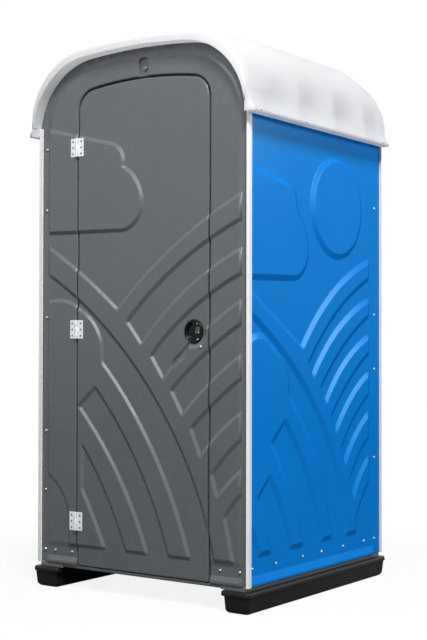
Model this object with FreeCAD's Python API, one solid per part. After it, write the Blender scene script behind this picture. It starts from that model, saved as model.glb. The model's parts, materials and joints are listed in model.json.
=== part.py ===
import FreeCAD, Part
import math
import os

# A portable toilet cabin: skids, floor pan, corner posts, moulded walls, vaulted roof,
# a front frame with an outward opening door, its hinges and its turn lock, and the tank,
# seat and fittings inside.
# Millimetres. The origin is on the ground under the middle of the cabin, +Z is up,
# the door faces -Y, and +X is the right side seen from the door.

Vector = FreeCAD.Vector
FRONT = Vector(0, -1, 0)
BACK = Vector(0, 1, 0)
RIGHT = Vector(1, 0, 0)
UP = Vector(0, 0, 1)

# Plan and heights
cabin_width = 1100.0
cabin_depth = 1100.0
skid_height = 87.0
ledge_thickness = 16.0
eave_height = 1947.0
lip_height = 38.0
touch_gap = 0.3

# Skids
skid_rim_height = 20.0
skid_rim_width = 138.0
skid_overhang = 12.0
skid_rim_step = 6.0
skid_inner_step = 13.0
skid_taper = 5.0
skid_corner_radius = 16.0
skid_inner_share = 0.6
skid_bottom_round = 11.0

# Floor pan
ledge_setback = 12.0
floor_rise = 32.0
floor_edge_gap = 0.5
upstand_height = 50.0
upstand_thickness = 6.0
tread_count = 9
tread_pitch = 38.0
tread_width = 12.0
tread_height = 2.0

# Corner posts
post_face = 10.0
post_size = 24.0
post_round = 8.0
post_leg = 30.0
post_leg_thickness = 3.0
post_flange = 6.0

# Moulded walls
wall_setback = 10.0
wall_thickness = 20.0
side_relief = 9.0
side_draft = 24.0
front_relief = 8.0
front_draft = 14.0
relief_root = 2.0
front_field_left = 55.0
front_field_right = 42.0
side_field_inset = 96.0
field_disc_x = 150.0
field_disc_z = 1633.0
field_disc_radius = 209.0
foot_flare = 8.0
foot_lip = 10.0
foot_height = 42.0

# Vaulted roof
arch_rise = 325.0
arch_radius = 2835.0
arch_shoulder = 318.0
arch_overhang = 6.0
roof_overhang = 16.0
roof_end_depth = 41.0
roof_middle_lift = 32.0
roof_crown_radius = 2400.0
roof_end_radius = 2860.0
roof_shoulder = 306.0
roof_skin = 10.0
roof_slope_front = 47.0
roof_slope_rear = 20.0
cavity_inset = 14.0
cavity_shoulder = 276.0
front_nose = 37.0
rear_nose = 12.0
front_slope = 390.0
rear_slope = 145.0
end_flange = 40.0
lip_overhang = 40.0
lip_front = 12.0
lip_rear = 5.0
lip_round = 14.0
flute_radius = 378.0
flute_reference = 8.0
flutes = ((-324.0, 84.0), (-62.0, 102.0), (219.0, 102.0), (463.0, 69.0))

# Door and its opening
opening_left = -332.0
opening_right = 360.0
opening_drop = 124.0
opening_radius = 1817.0
opening_corner = 93.0
door_gap = 5.0
door_floor_gap = 3.0
door_thickness = 25.0
stop_overlap = 14.0
stop_margin = 17.0
stop_thickness = 6.7
sill_half = 412.0
sill_depth = 11.0

# Pocket over the door, with its anchor bolt
pocket_left = -3.0
pocket_right = 43.0
pocket_rise = 79.0
pocket_depth = 7.0
anchor_x = 26.0
anchor_rise = 35.0
anchor_radius = 9.0
anchor_head = 5.0

# Hinges
hinge_foot = 191.0
hinge_middle = 1005.0
hinge_drop = 264.0
hinge_tall = 78.0
hinge_leaf = 35.0
leaf_thickness = 2.3
knuckle_radius = 5.0
knuckle_gap = 0.4
hinge_pin_radius = 2.5
pin_clearance = 0.05
pin_end = 1.5
hinge_rivet_inset = 12.0
hinge_rivet_pitch = 26.0

# Turn lock
lock_x = 281.0
lock_z = 1096.0
cup_radius = 46.0
cup_body_radius = 41.7
cup_hole_gap = 0.3
cup_seat_gap = 3.0
cup_flange = 2.0
cup_pocket_depth = 12.0
cup_bar_left = -8.0
chamber_radius = 36.0
chamber_depth = 12.0
window_x = 18.0
window_z = 6.0
window_wide = 20.0
window_tall = 26.0
window_pane = 2.0
disc_radius = 35.0
disc_thickness = 3.0
disc_gap = 1.0
spindle_radius = 5.0
spindle_gap = 0.1
crank_thickness = 4.0
crank_width = 9.0
crank_throw = 15.56
crank_pin_radius = 3.0
crank_slack = 0.6
bolt_travel = 22.0
bolt_thickness = 10.0
bolt_plane = 10.0
bolt_tall = 28.0
case_left = 50.0
case_right = 63.0
case_half_tall = 46.0
case_depth = 30.0
case_wall = 3.0
case_clearance = 0.4
turn_grip_length = 52.0
turn_grip_width = 12.0
turn_grip_height = 16.0
turn_base_radius = 16.0
turn_base_height = 5.0
keeper_thickness = 2.0
keeper_half_tall = 27.0
keeper_wide = 30.0
lock_screw_z = 32.0
lock_screw_x = 20.0

# Fasteners
rivet_radius = 7.0
rivet_height = 3.0
small_rivet_radius = 4.5
small_rivet_height = 2.0
rivet_inset = 37.0
front_rivets_low = (312.0, 567.0)
front_rivets_high = (787.0, 322.0, 57.0)
jamb_rivets = (-455.0, -360.0, 410.0, 503.0)
jamb_rivet_rise = 56.0
wall_rivets_low = (69.0, 434.0, 832.0)
wall_rivets_high = (768.0, 285.0)
foot_rivets = (-505.0, -333.0, -129.0, 25.0, 207.0, 392.0)
foot_rivet_rise = 69.0
door_rivet_x = 320.0
door_rivet_z = 1035.0
roof_screw_rise = 15.0
roof_screw_spots = (-518.0, -180.0, 489.0)

# Tank and seat
tank_front = 40.0
tank_side_gap = 3.0
tank_height = 425.0
tank_wall = 5.0
tank_corner = 45.0
deck_thickness = 25.0
deck_hole_margin = 12.0
vent_drop = 12.0
seat_y = 235.0
seat_hole_half_width = 120.0
seat_hole_half_length = 150.0
ring_border = 55.0
ring_thickness = 18.0
lid_thickness = 12.0
lid_gap = 0.5
seat_axis_behind = 18.0
seat_axis_height = 9.0
seat_knuckle_radius = 8.0
seat_knuckle_length = 26.0
seat_knuckle_spread = 150.0
seat_pin_radius = 4.0

# Vent pipe
vent_x = 430.0
vent_y = 440.0
vent_radius = 50.0
vent_wall = 3.0
vent_headroom = 122.0
vent_flange_radius = 66.0
vent_flange_height = 6.0
vent_gap = 0.3
clip_drop = 285.0
clip_width = 30.0
clip_thickness = 4.0
clip_foot_wide = 130.0

# Small fittings
paper_y = -110.0
paper_z = 720.0
paper_back_tall = 90.0
paper_back_thickness = 4.0
paper_arm_reach = 75.0
paper_inner_width = 118.0
paper_arm_thickness = 5.0
paper_arm_half = 15.0
paper_spindle_radius = 12.0
paper_journal_radius = 5.0
paper_journal_gap = 0.08
paper_end_gap = 0.5
hook_y = -250.0
hook_z = 1640.0
hook_plate_wide = 30.0
hook_plate_tall = 60.0
hook_plate_thickness = 4.0
hook_thickness = 6.0
hook_reach = 38.0
pull_x = 250.0
pull_z = 880.0
pull_length = 150.0
pull_reach = 38.0
pull_thickness = 12.0
pull_width = 26.0

# Levels worked out from the sizes above
half_width = cabin_width / 2
half_depth = cabin_depth / 2
base_level = skid_height + ledge_thickness
wall_top = eave_height + lip_height
front_face = -(half_depth - wall_setback)
front_back = front_face + wall_thickness
door_back = front_face + door_thickness
stop_front = door_back + touch_gap
stop_back = stop_front + stop_thickness
floor_level = base_level + floor_rise
arch_crown = eave_height + arch_rise
opening_crest = arch_crown - opening_drop
pocket_top = opening_crest + pocket_rise
anchor_z = opening_crest + anchor_rise
hinge_heights = {
    "bottom": base_level + hinge_foot,
    "middle": base_level + hinge_middle,
    "top": opening_crest - hinge_drop,
}
vent_top = arch_crown - vent_headroom
clip_z = wall_top - clip_drop
tank_top = floor_level + tank_height
deck_top = tank_top + deck_thickness
hinge_face = front_face - front_relief
hinge_axis_x = opening_left + door_gap / 2
hinge_axis_y = hinge_face - knuckle_radius - touch_gap
door_base = base_level + door_floor_gap


def box(x0, x1, y0, y1, z0, z1):
    """A block between two corners."""
    return Part.makeBox(x1 - x0, y1 - y0, z1 - z0, Vector(x0, y0, z0))


def rod(radius, start, direction, length):
    """A round bar from a start point."""
    return Part.makeCylinder(radius, length, start, direction)


def fused(shapes):
    """One clean solid from pieces that meet."""
    whole = shapes[0].multiFuse(shapes[1:]) if len(shapes) > 1 else shapes[0]
    return whole.removeSplitter()


def turned(shape, degrees):
    """A copy turned about the cabin's middle."""
    copy = shape.copy()
    copy.rotate(Vector(0, 0, 0), UP, degrees)
    return copy


def mirrored(shape):
    """The same piece on the other side of the cabin."""
    return shape.mirror(Vector(0, 0, 0), RIGHT)


# Outlines drawn on a wall: x along the wall and z up. A step is a corner to go to,
# or a pair of the point an arc passes through and the corner where it ends.
def segments(start, *steps):
    path = []
    here = start
    for step in steps:
        if isinstance(step[0], tuple):
            middle, end = step
        else:
            middle, end = None, step
        path.append((here, middle, end))
        here = end
    if here != start:
        path.append((here, None, start))
    return path


def arc_centre(a, b, c):
    """Centre of the circle through three points."""
    spread = 2 * (a[0] * (b[1] - c[1]) + b[0] * (c[1] - a[1]) + c[0] * (a[1] - b[1]))
    qa, qb, qc = (p[0] ** 2 + p[1] ** 2 for p in (a, b, c))
    x = (qa * (b[1] - c[1]) + qb * (c[1] - a[1]) + qc * (a[1] - b[1])) / spread
    z = (qa * (c[0] - b[0]) + qb * (a[0] - c[0]) + qc * (b[0] - a[0])) / spread
    return (x, z)


def outward(segment, point, turn):
    """Unit normal of a segment at a point, away from the outline's inside."""
    start, middle, end = segment
    if middle is None:
        normal = (end[1] - start[1], start[0] - end[0])
    else:
        centre = arc_centre(start, middle, end)
        cross = (middle[0] - start[0]) * (end[1] - middle[1])
        cross -= (middle[1] - start[1]) * (end[0] - middle[0])
        side = 1 if cross > 0 else -1
        normal = ((point[0] - centre[0]) * side, (point[1] - centre[1]) * side)
    length = math.hypot(normal[0], normal[1])
    return (normal[0] / length * turn, normal[1] / length * turn)


def grown(path, distance):
    """The outline moved outwards by a distance, with its corners kept sharp."""
    points = []
    for start, middle, end in path:
        points.append(start)
        if middle is not None:
            points.append(middle)
    ring = zip(points, points[1:] + points[:1])
    turn = 1 if sum(p[0] * q[1] - q[0] * p[1] for p, q in ring) > 0 else -1
    corners = []
    for before, after in zip(path[-1:] + path[:-1], path):
        corner = after[0]
        n1 = outward(before, corner, turn)
        n2 = outward(after, corner, turn)
        reach = distance / (1 + n1[0] * n2[0] + n1[1] * n2[1])
        corners.append((corner[0] + reach * (n1[0] + n2[0]), corner[1] + reach * (n1[1] + n2[1])))
    moved = []
    for index, segment in enumerate(path):
        middle = segment[1]
        if middle is not None:
            normal = outward(segment, middle, turn)
            middle = (middle[0] + distance * normal[0], middle[1] + distance * normal[1])
        moved.append((corners[index], middle, corners[(index + 1) % len(path)]))
    return moved


def edge_at(segment, y):
    """One edge of an outline, standing in the plane at y."""
    start, middle, end = segment
    first = Vector(start[0], y, start[1])
    last = Vector(end[0], y, end[1])
    if middle is None:
        return Part.LineSegment(first, last).toShape()
    return Part.Arc(first, Vector(middle[0], y, middle[1]), last).toShape()


def prism(path, y0, y1):
    """A plate of the outline's shape from y0 back to y1."""
    wire = Part.Wire([edge_at(segment, y0) for segment in path])
    return Part.Face(wire).extrude(Vector(0, y1 - y0, 0))


def raised_field(path, face, height, draft):
    """A moulded field that stands proud of a wall face, with sloping edges."""
    slope = draft / height
    root = grown(path, draft / 2 + relief_root * slope)
    rise = grown(path, -draft / 2)
    y0 = face + relief_root
    y1 = face - height
    faces = [Part.Face(Part.Wire([edge_at(s, y) for s in ring])) for ring, y in ((root, y0), (rise, y1))]
    for low, top in zip(root, rise):
        if low[1] is None:
            ring = [Vector(low[0][0], y0, low[0][1]), Vector(low[2][0], y0, low[2][1]),
                    Vector(top[2][0], y1, top[2][1]), Vector(top[0][0], y1, top[0][1])]
            faces.append(Part.Face(Part.makePolygon(ring + ring[:1])))
        else:
            faces.append(Part.makeRuledSurface(edge_at(low, y0), edge_at(top, y1)))
    shell = Part.makeShell(faces)
    shell.sewShape()
    return Part.makeSolid(shell)


def raised_disc(x, z, radius, face, height, draft):
    """A round moulded field with a sloping edge."""
    slope = draft / height
    return Part.makeCone(radius + draft / 2 + relief_root * slope, radius - draft / 2, height + relief_root,
                         Vector(x, face + relief_root, z), FRONT)


def vault(half_span, foot, crown, crown_radius, shoulder_radius):
    """A vault's outline: straight sides, tight shoulders and one long crown arc."""
    centre_z = crown - crown_radius
    reach = half_span - shoulder_radius
    shoulder_z = centre_z + math.sqrt((crown_radius - shoulder_radius) ** 2 - reach ** 2)
    steep = math.atan2(shoulder_z - centre_z, reach)
    join_x = crown_radius * math.cos(steep)
    join_z = centre_z + crown_radius * math.sin(steep)
    mid_x = reach + shoulder_radius * math.cos(steep / 2)
    mid_z = shoulder_z + shoulder_radius * math.sin(steep / 2)
    return segments(
        (-half_span, foot),
        (-half_span, shoulder_z),
        ((-mid_x, mid_z), (-join_x, join_z)),
        ((0.0, crown), (join_x, join_z)),
        ((mid_x, mid_z), (half_span, shoulder_z)),
        (half_span, foot),
    )


def door_outline(margin, foot):
    """The door opening's outline, made smaller all round by a margin."""
    left = opening_left + margin
    right = opening_right - margin
    radius = opening_radius - margin
    corner = opening_corner - margin
    centre_z = opening_crest - opening_radius
    steps = []
    for side, edge in ((-1, -left), (1, right)):
        reach = edge - corner
        corner_z = centre_z + math.sqrt((radius - corner) ** 2 - reach ** 2)
        steep = math.atan2(corner_z - centre_z, reach)
        join = (side * radius * math.cos(steep), centre_z + radius * math.sin(steep))
        bend_x = side * (reach + corner * math.cos(steep / 2))
        bend = (bend_x, corner_z + corner * math.sin(steep / 2))
        steps.append(((side * edge, corner_z), bend, join))
    first, last = steps
    return segments(
        (left, foot),
        first[0],
        (first[1], first[2]),
        ((0.0, centre_z + radius), last[2]),
        (last[1], last[0]),
        (right, foot),
    )


# The moulded figures of the front, drawn across the door and the jambs beside it
def front_figures():
    left = -half_width + front_field_left
    right = half_width - front_field_right
    cloud = segments(
        (left, 1973), (-150, 1887), ((-99, 1858), (-79, 1808)), (-82, 1786),
        ((-9, 1718), (19, 1639)), ((-6, 1561), (-90, 1519)), (left, 1525),
    )
    waves = segments(
        (left, 1464), ((-296, 1335), (-110, 1190)), ((180, 1440), (right, 1633)), (right, 1534),
        ((199, 1363), (-58, 1140)), (18, 1046), ((226, 1250), (right, 1418)), (right, 1320),
        ((277, 1189), (68, 1000)), (132, 906), ((320, 1088), (right, 1214)), (right, 1125),
        ((341, 1011), (171, 861)), (229, 763), ((362, 893), (right, 1002)), (right, 911),
        ((391, 820), (270, 709)), (317, 601), ((409, 698), (right, 777)), (right, 674),
        ((440, 610), (373, 532)), (398, 443), ((452, 503), (right, 552)), (right, 460),
        ((473, 422), (434, 371)), (474, 197), (386, 197), ((333, 380), (193, 671)),
        ((-63, 1007), (left, 1347)),
    )
    bands = segments(
        (left, 1225), ((-401, 1230), (-312, 1189)), ((-233, 1126), (-196, 1049)), (-190, 967),
        ((66, 632), (263, 191)), (160, 191), ((-14, 577), (-228, 864)), (-321, 784),
        ((-104, 504), (50, 191)), (-61, 191), ((-166, 417), (-300, 620)), (-300, 431),
        ((-237, 317), (-175, 191)), (-373, 191), (-379, 349), ((-407, 406), (-458, 465)),
        (left, 488),
    )
    return [raised_field(f, front_face, front_relief, front_draft) for f in (cloud, waves, bands)]


# The moulded figures of a side wall, drawn as seen from outside with the front edge at -x
def side_figures(half_span, face):
    left = -half_span - side_draft
    right = half_span - side_field_inset
    cloud = segments(
        (left, 1749), (-232, 1690), ((-195, 1660), (-184, 1586)), ((-123, 1533), (-98, 1460)),
        ((-118, 1365), (-200, 1317)), (left, 1308),
    )
    disc = raised_disc(field_disc_x, field_disc_z, field_disc_radius, face, side_relief, side_draft)
    waves = segments(
        (left, 1269), (-142, 1033), ((157, 1296), (right, 1417)), (right, 1339),
        ((159, 1197), (-91, 969)), (-57, 913), ((207, 1146), (right, 1244)), (right, 1174),
        ((223, 1056), (6, 863)), (47, 799), ((264, 1001), (right, 1081)), (right, 1008),
        ((237, 878), (98, 743)), (134, 671), ((272, 818), (right, 917)), (right, 825),
        ((309, 739), (182, 600)), (211, 532), ((325, 663), (right, 737)), (right, 634),
        ((328, 551), (255, 457)), (285, 374), ((353, 473), (right, 540)), (right, 433),
        ((370, 372), (307, 274)), (312, 222), (223, 222), ((148, 499), (2, 737)),
        ((-215, 956), (left, 1174)),
    )
    bands = segments(
        (left, 1046), ((-465, 1080), (-379, 1039)), ((-283, 961), (-245, 904)), (-245, 834),
        ((-29, 558), (104, 224)), (19, 224), ((-105, 513), (-275, 738)), (-380, 649),
        ((-240, 452), (-132, 223)), (-227, 223), ((-294, 378), (-391, 522)), (-480, 440),
        ((-420, 330), (-374, 223)), (-464, 223), ((-498, 291), (left, 355)),
    )
    return [disc] + [raised_field(f, face, side_relief, side_draft) for f in (cloud, waves, bands)]


def flared_foot(x0, x1, face):
    """The lower edge of a wall, flared outwards to throw water off."""
    profile = Part.makePolygon([
        Vector(x0, face, base_level + foot_height),
        Vector(x0, face - foot_flare, base_level + foot_lip),
        Vector(x0, face - foot_flare, base_level),
        Vector(x0, face + relief_root, base_level),
        Vector(x0, face + relief_root, base_level + foot_height),
        Vector(x0, face, base_level + foot_height),
    ])
    return Part.Face(profile).extrude(Vector(x1 - x0, 0, 0))


def square_outline(left, right, foot, top):
    return segments((left, foot), (left, top), (right, top), (right, foot))


def flange_room(side, reach, face):
    """The room behind a wall's flange at one end, for a post's bridge and leg."""
    inner = reach - wall_setback - wall_thickness - post_leg_thickness
    outer = reach - post_face + touch_gap
    x0, x1 = sorted((side * inner, side * outer))
    return box(x0, x1, face + post_flange, face + wall_thickness + touch_gap, base_level, wall_top)


def right_wall():
    """A moulded wall from the front post to the rear one, drawn as the front is and then turned."""
    face = -(half_width - wall_setback)
    front_end = -(half_depth - post_size)
    rear_end = half_depth - post_face
    outline = square_outline(front_end, rear_end, base_level, wall_top)
    plate = prism(outline, face, face + wall_thickness)
    reach = prism(outline, face - wall_thickness, face + wall_thickness)
    figures = [figure.common(reach) for figure in side_figures(-front_end, face)]
    foot = flared_foot(front_end, rear_end, face)
    return turned(fused([plate, foot] + figures).cut(flange_room(1, half_depth, face)), 90)


def arched_plate(y0, y1, half_span):
    """The end of the cabin: a plate that fills the roof's arch and stands between the posts."""
    arch_half = half_width + arch_overhang
    outline = vault(arch_half, eave_height, arch_crown - touch_gap, arch_radius, arch_shoulder)
    over_posts = box(-arch_half, arch_half, y0, y1, wall_top, arch_crown)
    body = square_outline(-half_span, half_span, base_level, wall_top + lip_height)
    return fused([prism(outline, y0, y1).common(over_posts), prism(body, y0, y1)])


def rear_wall():
    half_span = half_width - post_size
    face = -(half_depth - wall_setback)
    plate = arched_plate(face, face + wall_thickness, half_span)
    reach = box(-half_span, half_span, face - wall_thickness, face + wall_thickness, base_level, wall_top)
    figures = [figure.common(reach) for figure in side_figures(half_span, face)]
    foot = flared_foot(-half_span, half_span, face)
    return turned(fused([plate, foot] + figures), 180)


def front_frame():
    """The front's fixed part: jambs and arch around the door opening, sill and door stop."""
    half_span = half_width - post_face
    opening = prism(door_outline(0.0, base_level), front_face - wall_thickness, stop_back)
    plate = arched_plate(front_face, front_back, half_span)
    reach = box(-half_span, half_span, front_face - wall_thickness, front_back, base_level, wall_top)
    figures = [figure.common(reach) for figure in front_figures()]
    foot = flared_foot(-half_span, half_span, front_face)
    body = fused([plate, foot] + figures).cut(opening)
    stop_outer = prism(door_outline(-stop_margin, base_level), front_back, stop_back)
    stop_inner = prism(door_outline(stop_overlap, base_level), front_back, stop_back)
    rebate = prism(door_outline(0.0, base_level), front_back, stop_front)
    stop = stop_outer.cut(stop_inner).cut(rebate)
    sill = box(-sill_half, sill_half, front_face, front_back, base_level - sill_depth, base_level)
    rooms = [flange_room(side, half_width, front_face) for side in (-1, 1)]
    return fused([body, stop, sill]).cut([anchor_pocket()] + rooms)


def anchor_pocket():
    """The recess in the arch over the door, open downwards into the opening."""
    middle = (pocket_left + pocket_right) / 2
    half = (pocket_right - pocket_left) / 2
    corner = half / 2
    outline = segments(
        (pocket_left, opening_crest - opening_corner), (pocket_left, pocket_top - corner),
        ((middle, pocket_top), (pocket_right, pocket_top - corner)),
        (pocket_right, opening_crest - opening_corner),
    )
    return prism(outline, front_face - front_relief, front_face + pocket_depth)


def anchor_bolt():
    return head(anchor_x, front_face + pocket_depth, anchor_z, FRONT, anchor_radius, anchor_head)


def door_panel():
    outline = door_outline(door_gap, door_base)
    plate = prism(outline, front_face, door_back)
    reach = prism(outline, front_face - wall_thickness, door_back)
    figures = [figure.common(reach) for figure in front_figures()]
    start = Vector(lock_x, front_face - wall_thickness, lock_z)
    seat = rod(cup_radius + cup_seat_gap, start, BACK, wall_thickness)
    hole = rod(cup_body_radius + cup_hole_gap, start, BACK, wall_thickness + door_thickness)
    return fused([plate] + figures).cut(seat).cut(hole)


def rounded_ring(x0, x1, half_long, radius, z):
    """A rectangle with rounded corners, centred on y = 0, at one height."""
    bend = radius * (1 - math.sqrt(0.5))
    edges = []
    corners = ((x1, 1), (x0, 1), (x0, -1), (x1, -1))
    last = None
    for edge_x, cy in corners:
        inward = -1 if edge_x == x1 else 1
        across = Vector(edge_x, cy * (half_long - radius), z)
        corner = Vector(edge_x + inward * bend, cy * (half_long - bend), z)
        along = Vector(edge_x + inward * radius, cy * half_long, z)
        first, second = (across, along) if (edge_x == x1) == (cy > 0) else (along, across)
        if last is not None:
            edges.append(Part.LineSegment(last, first).toShape())
        edges.append(Part.Arc(first, corner, second).toShape())
        last = second
    edges.append(Part.LineSegment(last, edges[0].Vertexes[0].Point).toShape())
    return Part.Wire(edges)


def skid():
    """The right-hand skid: a rim that the cabin stands on over a tapering runner."""
    outer = half_width + skid_overhang
    inner = outer - skid_rim_width
    end = half_depth + skid_overhang
    rim_low = skid_height - skid_rim_height
    rim_face = Part.Face(rounded_ring(inner, outer, end, skid_corner_radius, rim_low))
    rim = rim_face.extrude(UP * skid_rim_height)
    levels = []
    radius = skid_corner_radius - skid_rim_step
    steps = ((0.0, skid_taper + skid_bottom_round * 0.7), (skid_bottom_round, skid_taper), (rim_low, 0.0))
    for z, shrink in steps:
        levels.append(rounded_ring(inner + skid_inner_step + shrink * skid_inner_share,
                                   outer - skid_rim_step - shrink, end - skid_rim_step - shrink, radius, z))
    return fused([rim, Part.makeLoft(levels, True, True)])


def corner_post(across, deep):
    """A front left post: a narrow section outside, bridged behind the front to a leg on each wall."""
    x0 = -across
    y0 = -deep
    body = box(x0, x0 + post_face, y0, y0 + post_size, base_level, wall_top)
    edge = [e for e in body.Edges
            if e.BoundBox.XMax < x0 + 0.01 and e.BoundBox.YMax < y0 + 0.01]
    body = body.makeFillet(post_round, edge)
    wall_back = wall_setback + wall_thickness
    flange_back = wall_setback + post_flange
    leg_end = post_size + post_leg
    leg_back = wall_back + post_leg_thickness
    bridge = box(x0, x0 + leg_back, y0 + flange_back, y0 + post_size, base_level, wall_top)
    leg_x = box(x0 + wall_back, x0 + leg_end, y0 + wall_back, y0 + leg_back, base_level, wall_top)
    leg_y = box(x0 + wall_back, x0 + leg_back, y0 + flange_back, y0 + leg_end, base_level, wall_top)
    return fused([body, bridge, leg_x, leg_y])


def floor_pan():
    ledge_x = half_width - ledge_setback
    ledge_y = half_depth - ledge_setback
    ledge = box(-ledge_x, ledge_x, -ledge_y, ledge_y, skid_height, base_level)
    notch = box(-sill_half - touch_gap, sill_half + touch_gap, -half_depth, front_back + touch_gap,
                skid_height - 1, base_level + 1)
    side = half_width - wall_setback - wall_thickness - post_leg_thickness - floor_edge_gap
    rear = half_depth - wall_setback - wall_thickness - post_leg_thickness - floor_edge_gap
    front = stop_back + floor_edge_gap
    block = box(-side, side, front, rear, base_level, floor_level)
    rim_top = floor_level + upstand_height
    rim_outer = box(-side, side, front, rear, floor_level, rim_top)
    rim_inner = box(-side + upstand_thickness, side - upstand_thickness, front - 1,
                    rear - upstand_thickness, floor_level, rim_top + 1)
    treads = []
    reach = side - upstand_thickness - tread_pitch
    for index in range(tread_count):
        y = front + tread_pitch * (index + 1)
        treads.append(box(-reach, reach, y, y + tread_width, floor_level - 1, floor_level + tread_height))
    return fused([ledge.cut(notch), block, rim_outer.cut(rim_inner)] + treads)


def eased(share):
    """A smooth step from 0 to 1."""
    return (1 - math.cos(math.pi * share)) / 2


def roof_wire(y, side_inset, crown_drop, blend):
    """One section of the roof's outside; blend runs from 0 at the ends to 1 in the middle."""
    half_span = half_width + roof_overhang - side_inset
    crown = arch_crown + roof_end_depth + roof_middle_lift * blend - crown_drop
    radius = roof_end_radius + (roof_crown_radius - roof_end_radius) * blend
    path = vault(half_span, eave_height, crown, radius, roof_shoulder - side_inset)
    return Part.Wire([edge_at(segment, y) for segment in path])


def roof():
    front = -half_depth - front_nose
    rear = half_depth + rear_nose
    slope_start = front + roof_slope_front
    slope_end = rear - roof_slope_rear
    nose = [roof_wire(front, 6.0, 19.0, 0.0), roof_wire(front + 12.0, 1.0, 6.0, 0.0)]
    tail = [roof_wire(rear, 5.0, 16.0, 0.0)]
    for share in (0.0, 0.25, 0.5, 0.75, 1.0):
        nose.append(roof_wire(slope_start + front_slope * share, 0.0, 0.0, eased(share)))
    for share in (0.0, 0.5, 1.0):
        tail.append(roof_wire(slope_end - rear_slope * share, 0.0, 0.0, eased(share)))
    middle = Part.Face(nose[-1]).extrude(BACK * (slope_end - rear_slope - slope_start - front_slope))
    shell = fused([Part.makeLoft(nose, True, True), middle, Part.makeLoft(tail, True, True)])
    for y, half in flutes:
        sagitta = half ** 2 / (2 * flute_radius)
        axis = half_width + flute_reference - sagitta + flute_radius
        for side in (-1, 1):
            scoop = rod(flute_radius, Vector(side * axis, y, wall_top), UP, lip_height * 8)
            shell = shell.cut(scoop)
    lip_out = half_width + lip_overhang
    lip = box(-lip_out, lip_out, -half_depth - lip_front, half_depth - lip_rear, eave_height, wall_top)
    corners = [e for e in lip.Edges if abs(e.tangentAt(e.FirstParameter).z) > 0.99]
    lip = lip.makeFillet(lip_round, corners)
    inner = half_width + touch_gap
    foot = eave_height - lip_height
    end_path = vault(inner + arch_overhang, foot, arch_crown, arch_radius, arch_shoulder)
    rear_wall_back = half_depth - wall_setback - wall_thickness
    inset_shoulder = arch_shoulder - arch_overhang - cavity_inset
    through_path = vault(half_width - cavity_inset, foot, arch_crown, arch_radius, inset_shoulder)
    rooms = [
        prism(end_path, front - 1, stop_back + touch_gap),
        prism(end_path, rear_wall_back - touch_gap, rear + 1),
        prism(through_path, front - 1, rear + 1),
    ]
    square_room = box(-inner, inner, -half_depth, half_depth, foot, wall_top + touch_gap)

    def cavity(y, blend):
        crown = arch_crown + roof_end_depth + roof_middle_lift * blend - roof_skin
        radius = roof_end_radius + (roof_crown_radius - roof_end_radius) * blend
        path = vault(half_width - cavity_inset, foot, crown, radius, cavity_shoulder)
        return Part.Wire([edge_at(segment, y) for segment in path])

    hollow = Part.makeLoft([
        cavity(-half_depth + end_flange, 0.0), cavity(slope_start + front_slope, 1.0),
        cavity(slope_end - rear_slope, 1.0), cavity(half_depth - end_flange, 0.0),
    ], True, True)
    return fused([shell, lip]).cut(rooms + [square_room, hollow]).removeSplitter()


def hinge(height):
    """One hinge: a frame leaf with the outer knuckles, a door leaf with the middle one, and the pin."""
    low = height - hinge_tall / 2
    part_tall = (hinge_tall - 2 * knuckle_gap) / 3
    bore_start = Vector(hinge_axis_x, hinge_axis_y, low - 1)
    bore = rod(hinge_pin_radius + pin_clearance, bore_start, UP, hinge_tall + 2)
    leaves = []
    for side, knuckles in ((-1, (0, 2)), (1, (1,))):
        near = hinge_axis_x + side * (knuckle_radius + knuckle_gap)
        far = hinge_axis_x + side * hinge_leaf
        y0 = hinge_face - leaf_thickness
        pieces = [box(min(near, far), max(near, far), y0, hinge_face, low, low + hinge_tall)]
        for index in knuckles:
            z = low + index * (part_tall + knuckle_gap)
            pieces.append(rod(knuckle_radius, Vector(hinge_axis_x, hinge_axis_y, z), UP, part_tall))
            x0, x1 = sorted((hinge_axis_x, near))
            pieces.append(box(x0, x1, y0, hinge_face, z, z + part_tall))
        leaves.append(fused(pieces).cut(bore))
    pin_start = Vector(hinge_axis_x, hinge_axis_y, low - pin_end)
    pin = rod(hinge_pin_radius, pin_start, UP, hinge_tall + 2 * pin_end)
    return leaves[0], leaves[1], pin


def head(x, y, z, direction, radius, height):
    """An eight-sided rivet or screw head seated on a face."""
    side = UP
    other = direction.cross(side)
    ring = []
    for step in range(9):
        angle = math.pi / 4 * (step % 8 + 0.5)
        corner = side * (radius * math.cos(angle)) + other * (radius * math.sin(angle))
        ring.append(Vector(x, y, z) + corner)
    return Part.Face(Part.makePolygon(ring)).extrude(direction * height)


def hinge_rivets(side):
    x = hinge_axis_x + side * (hinge_leaf - hinge_rivet_inset)
    y = hinge_face - leaf_thickness
    heads = []
    for height in hinge_heights.values():
        for step in (-1, 0, 1):
            z = height + step * hinge_rivet_pitch
            heads.append(head(x, y, z, FRONT, small_rivet_radius, small_rivet_height))
    return Part.makeCompound(heads)


def front_rivets():
    left = -half_width + rivet_inset
    spots = [(left, base_level + rise) for rise in front_rivets_low]
    spots += [(left, eave_height - drop) for drop in front_rivets_high]
    spots += [(x, base_level + jamb_rivet_rise) for x in jamb_rivets]
    heads = [head(x, front_face, z, FRONT, rivet_radius, rivet_height) for x, z in spots]
    return Part.makeCompound(heads)


def wall_rivets(half_span, face, degrees):
    spots = [(u, base_level + foot_rivet_rise) for u in foot_rivets]
    edge = half_span - rivet_inset
    spots += [(edge, base_level + rise) for rise in wall_rivets_low]
    spots += [(edge, eave_height - drop) for drop in wall_rivets_high]
    heads = [head(u, face, z, FRONT, rivet_radius, rivet_height) for u, z in spots]
    return turned(Part.makeCompound(heads), degrees)


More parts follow.
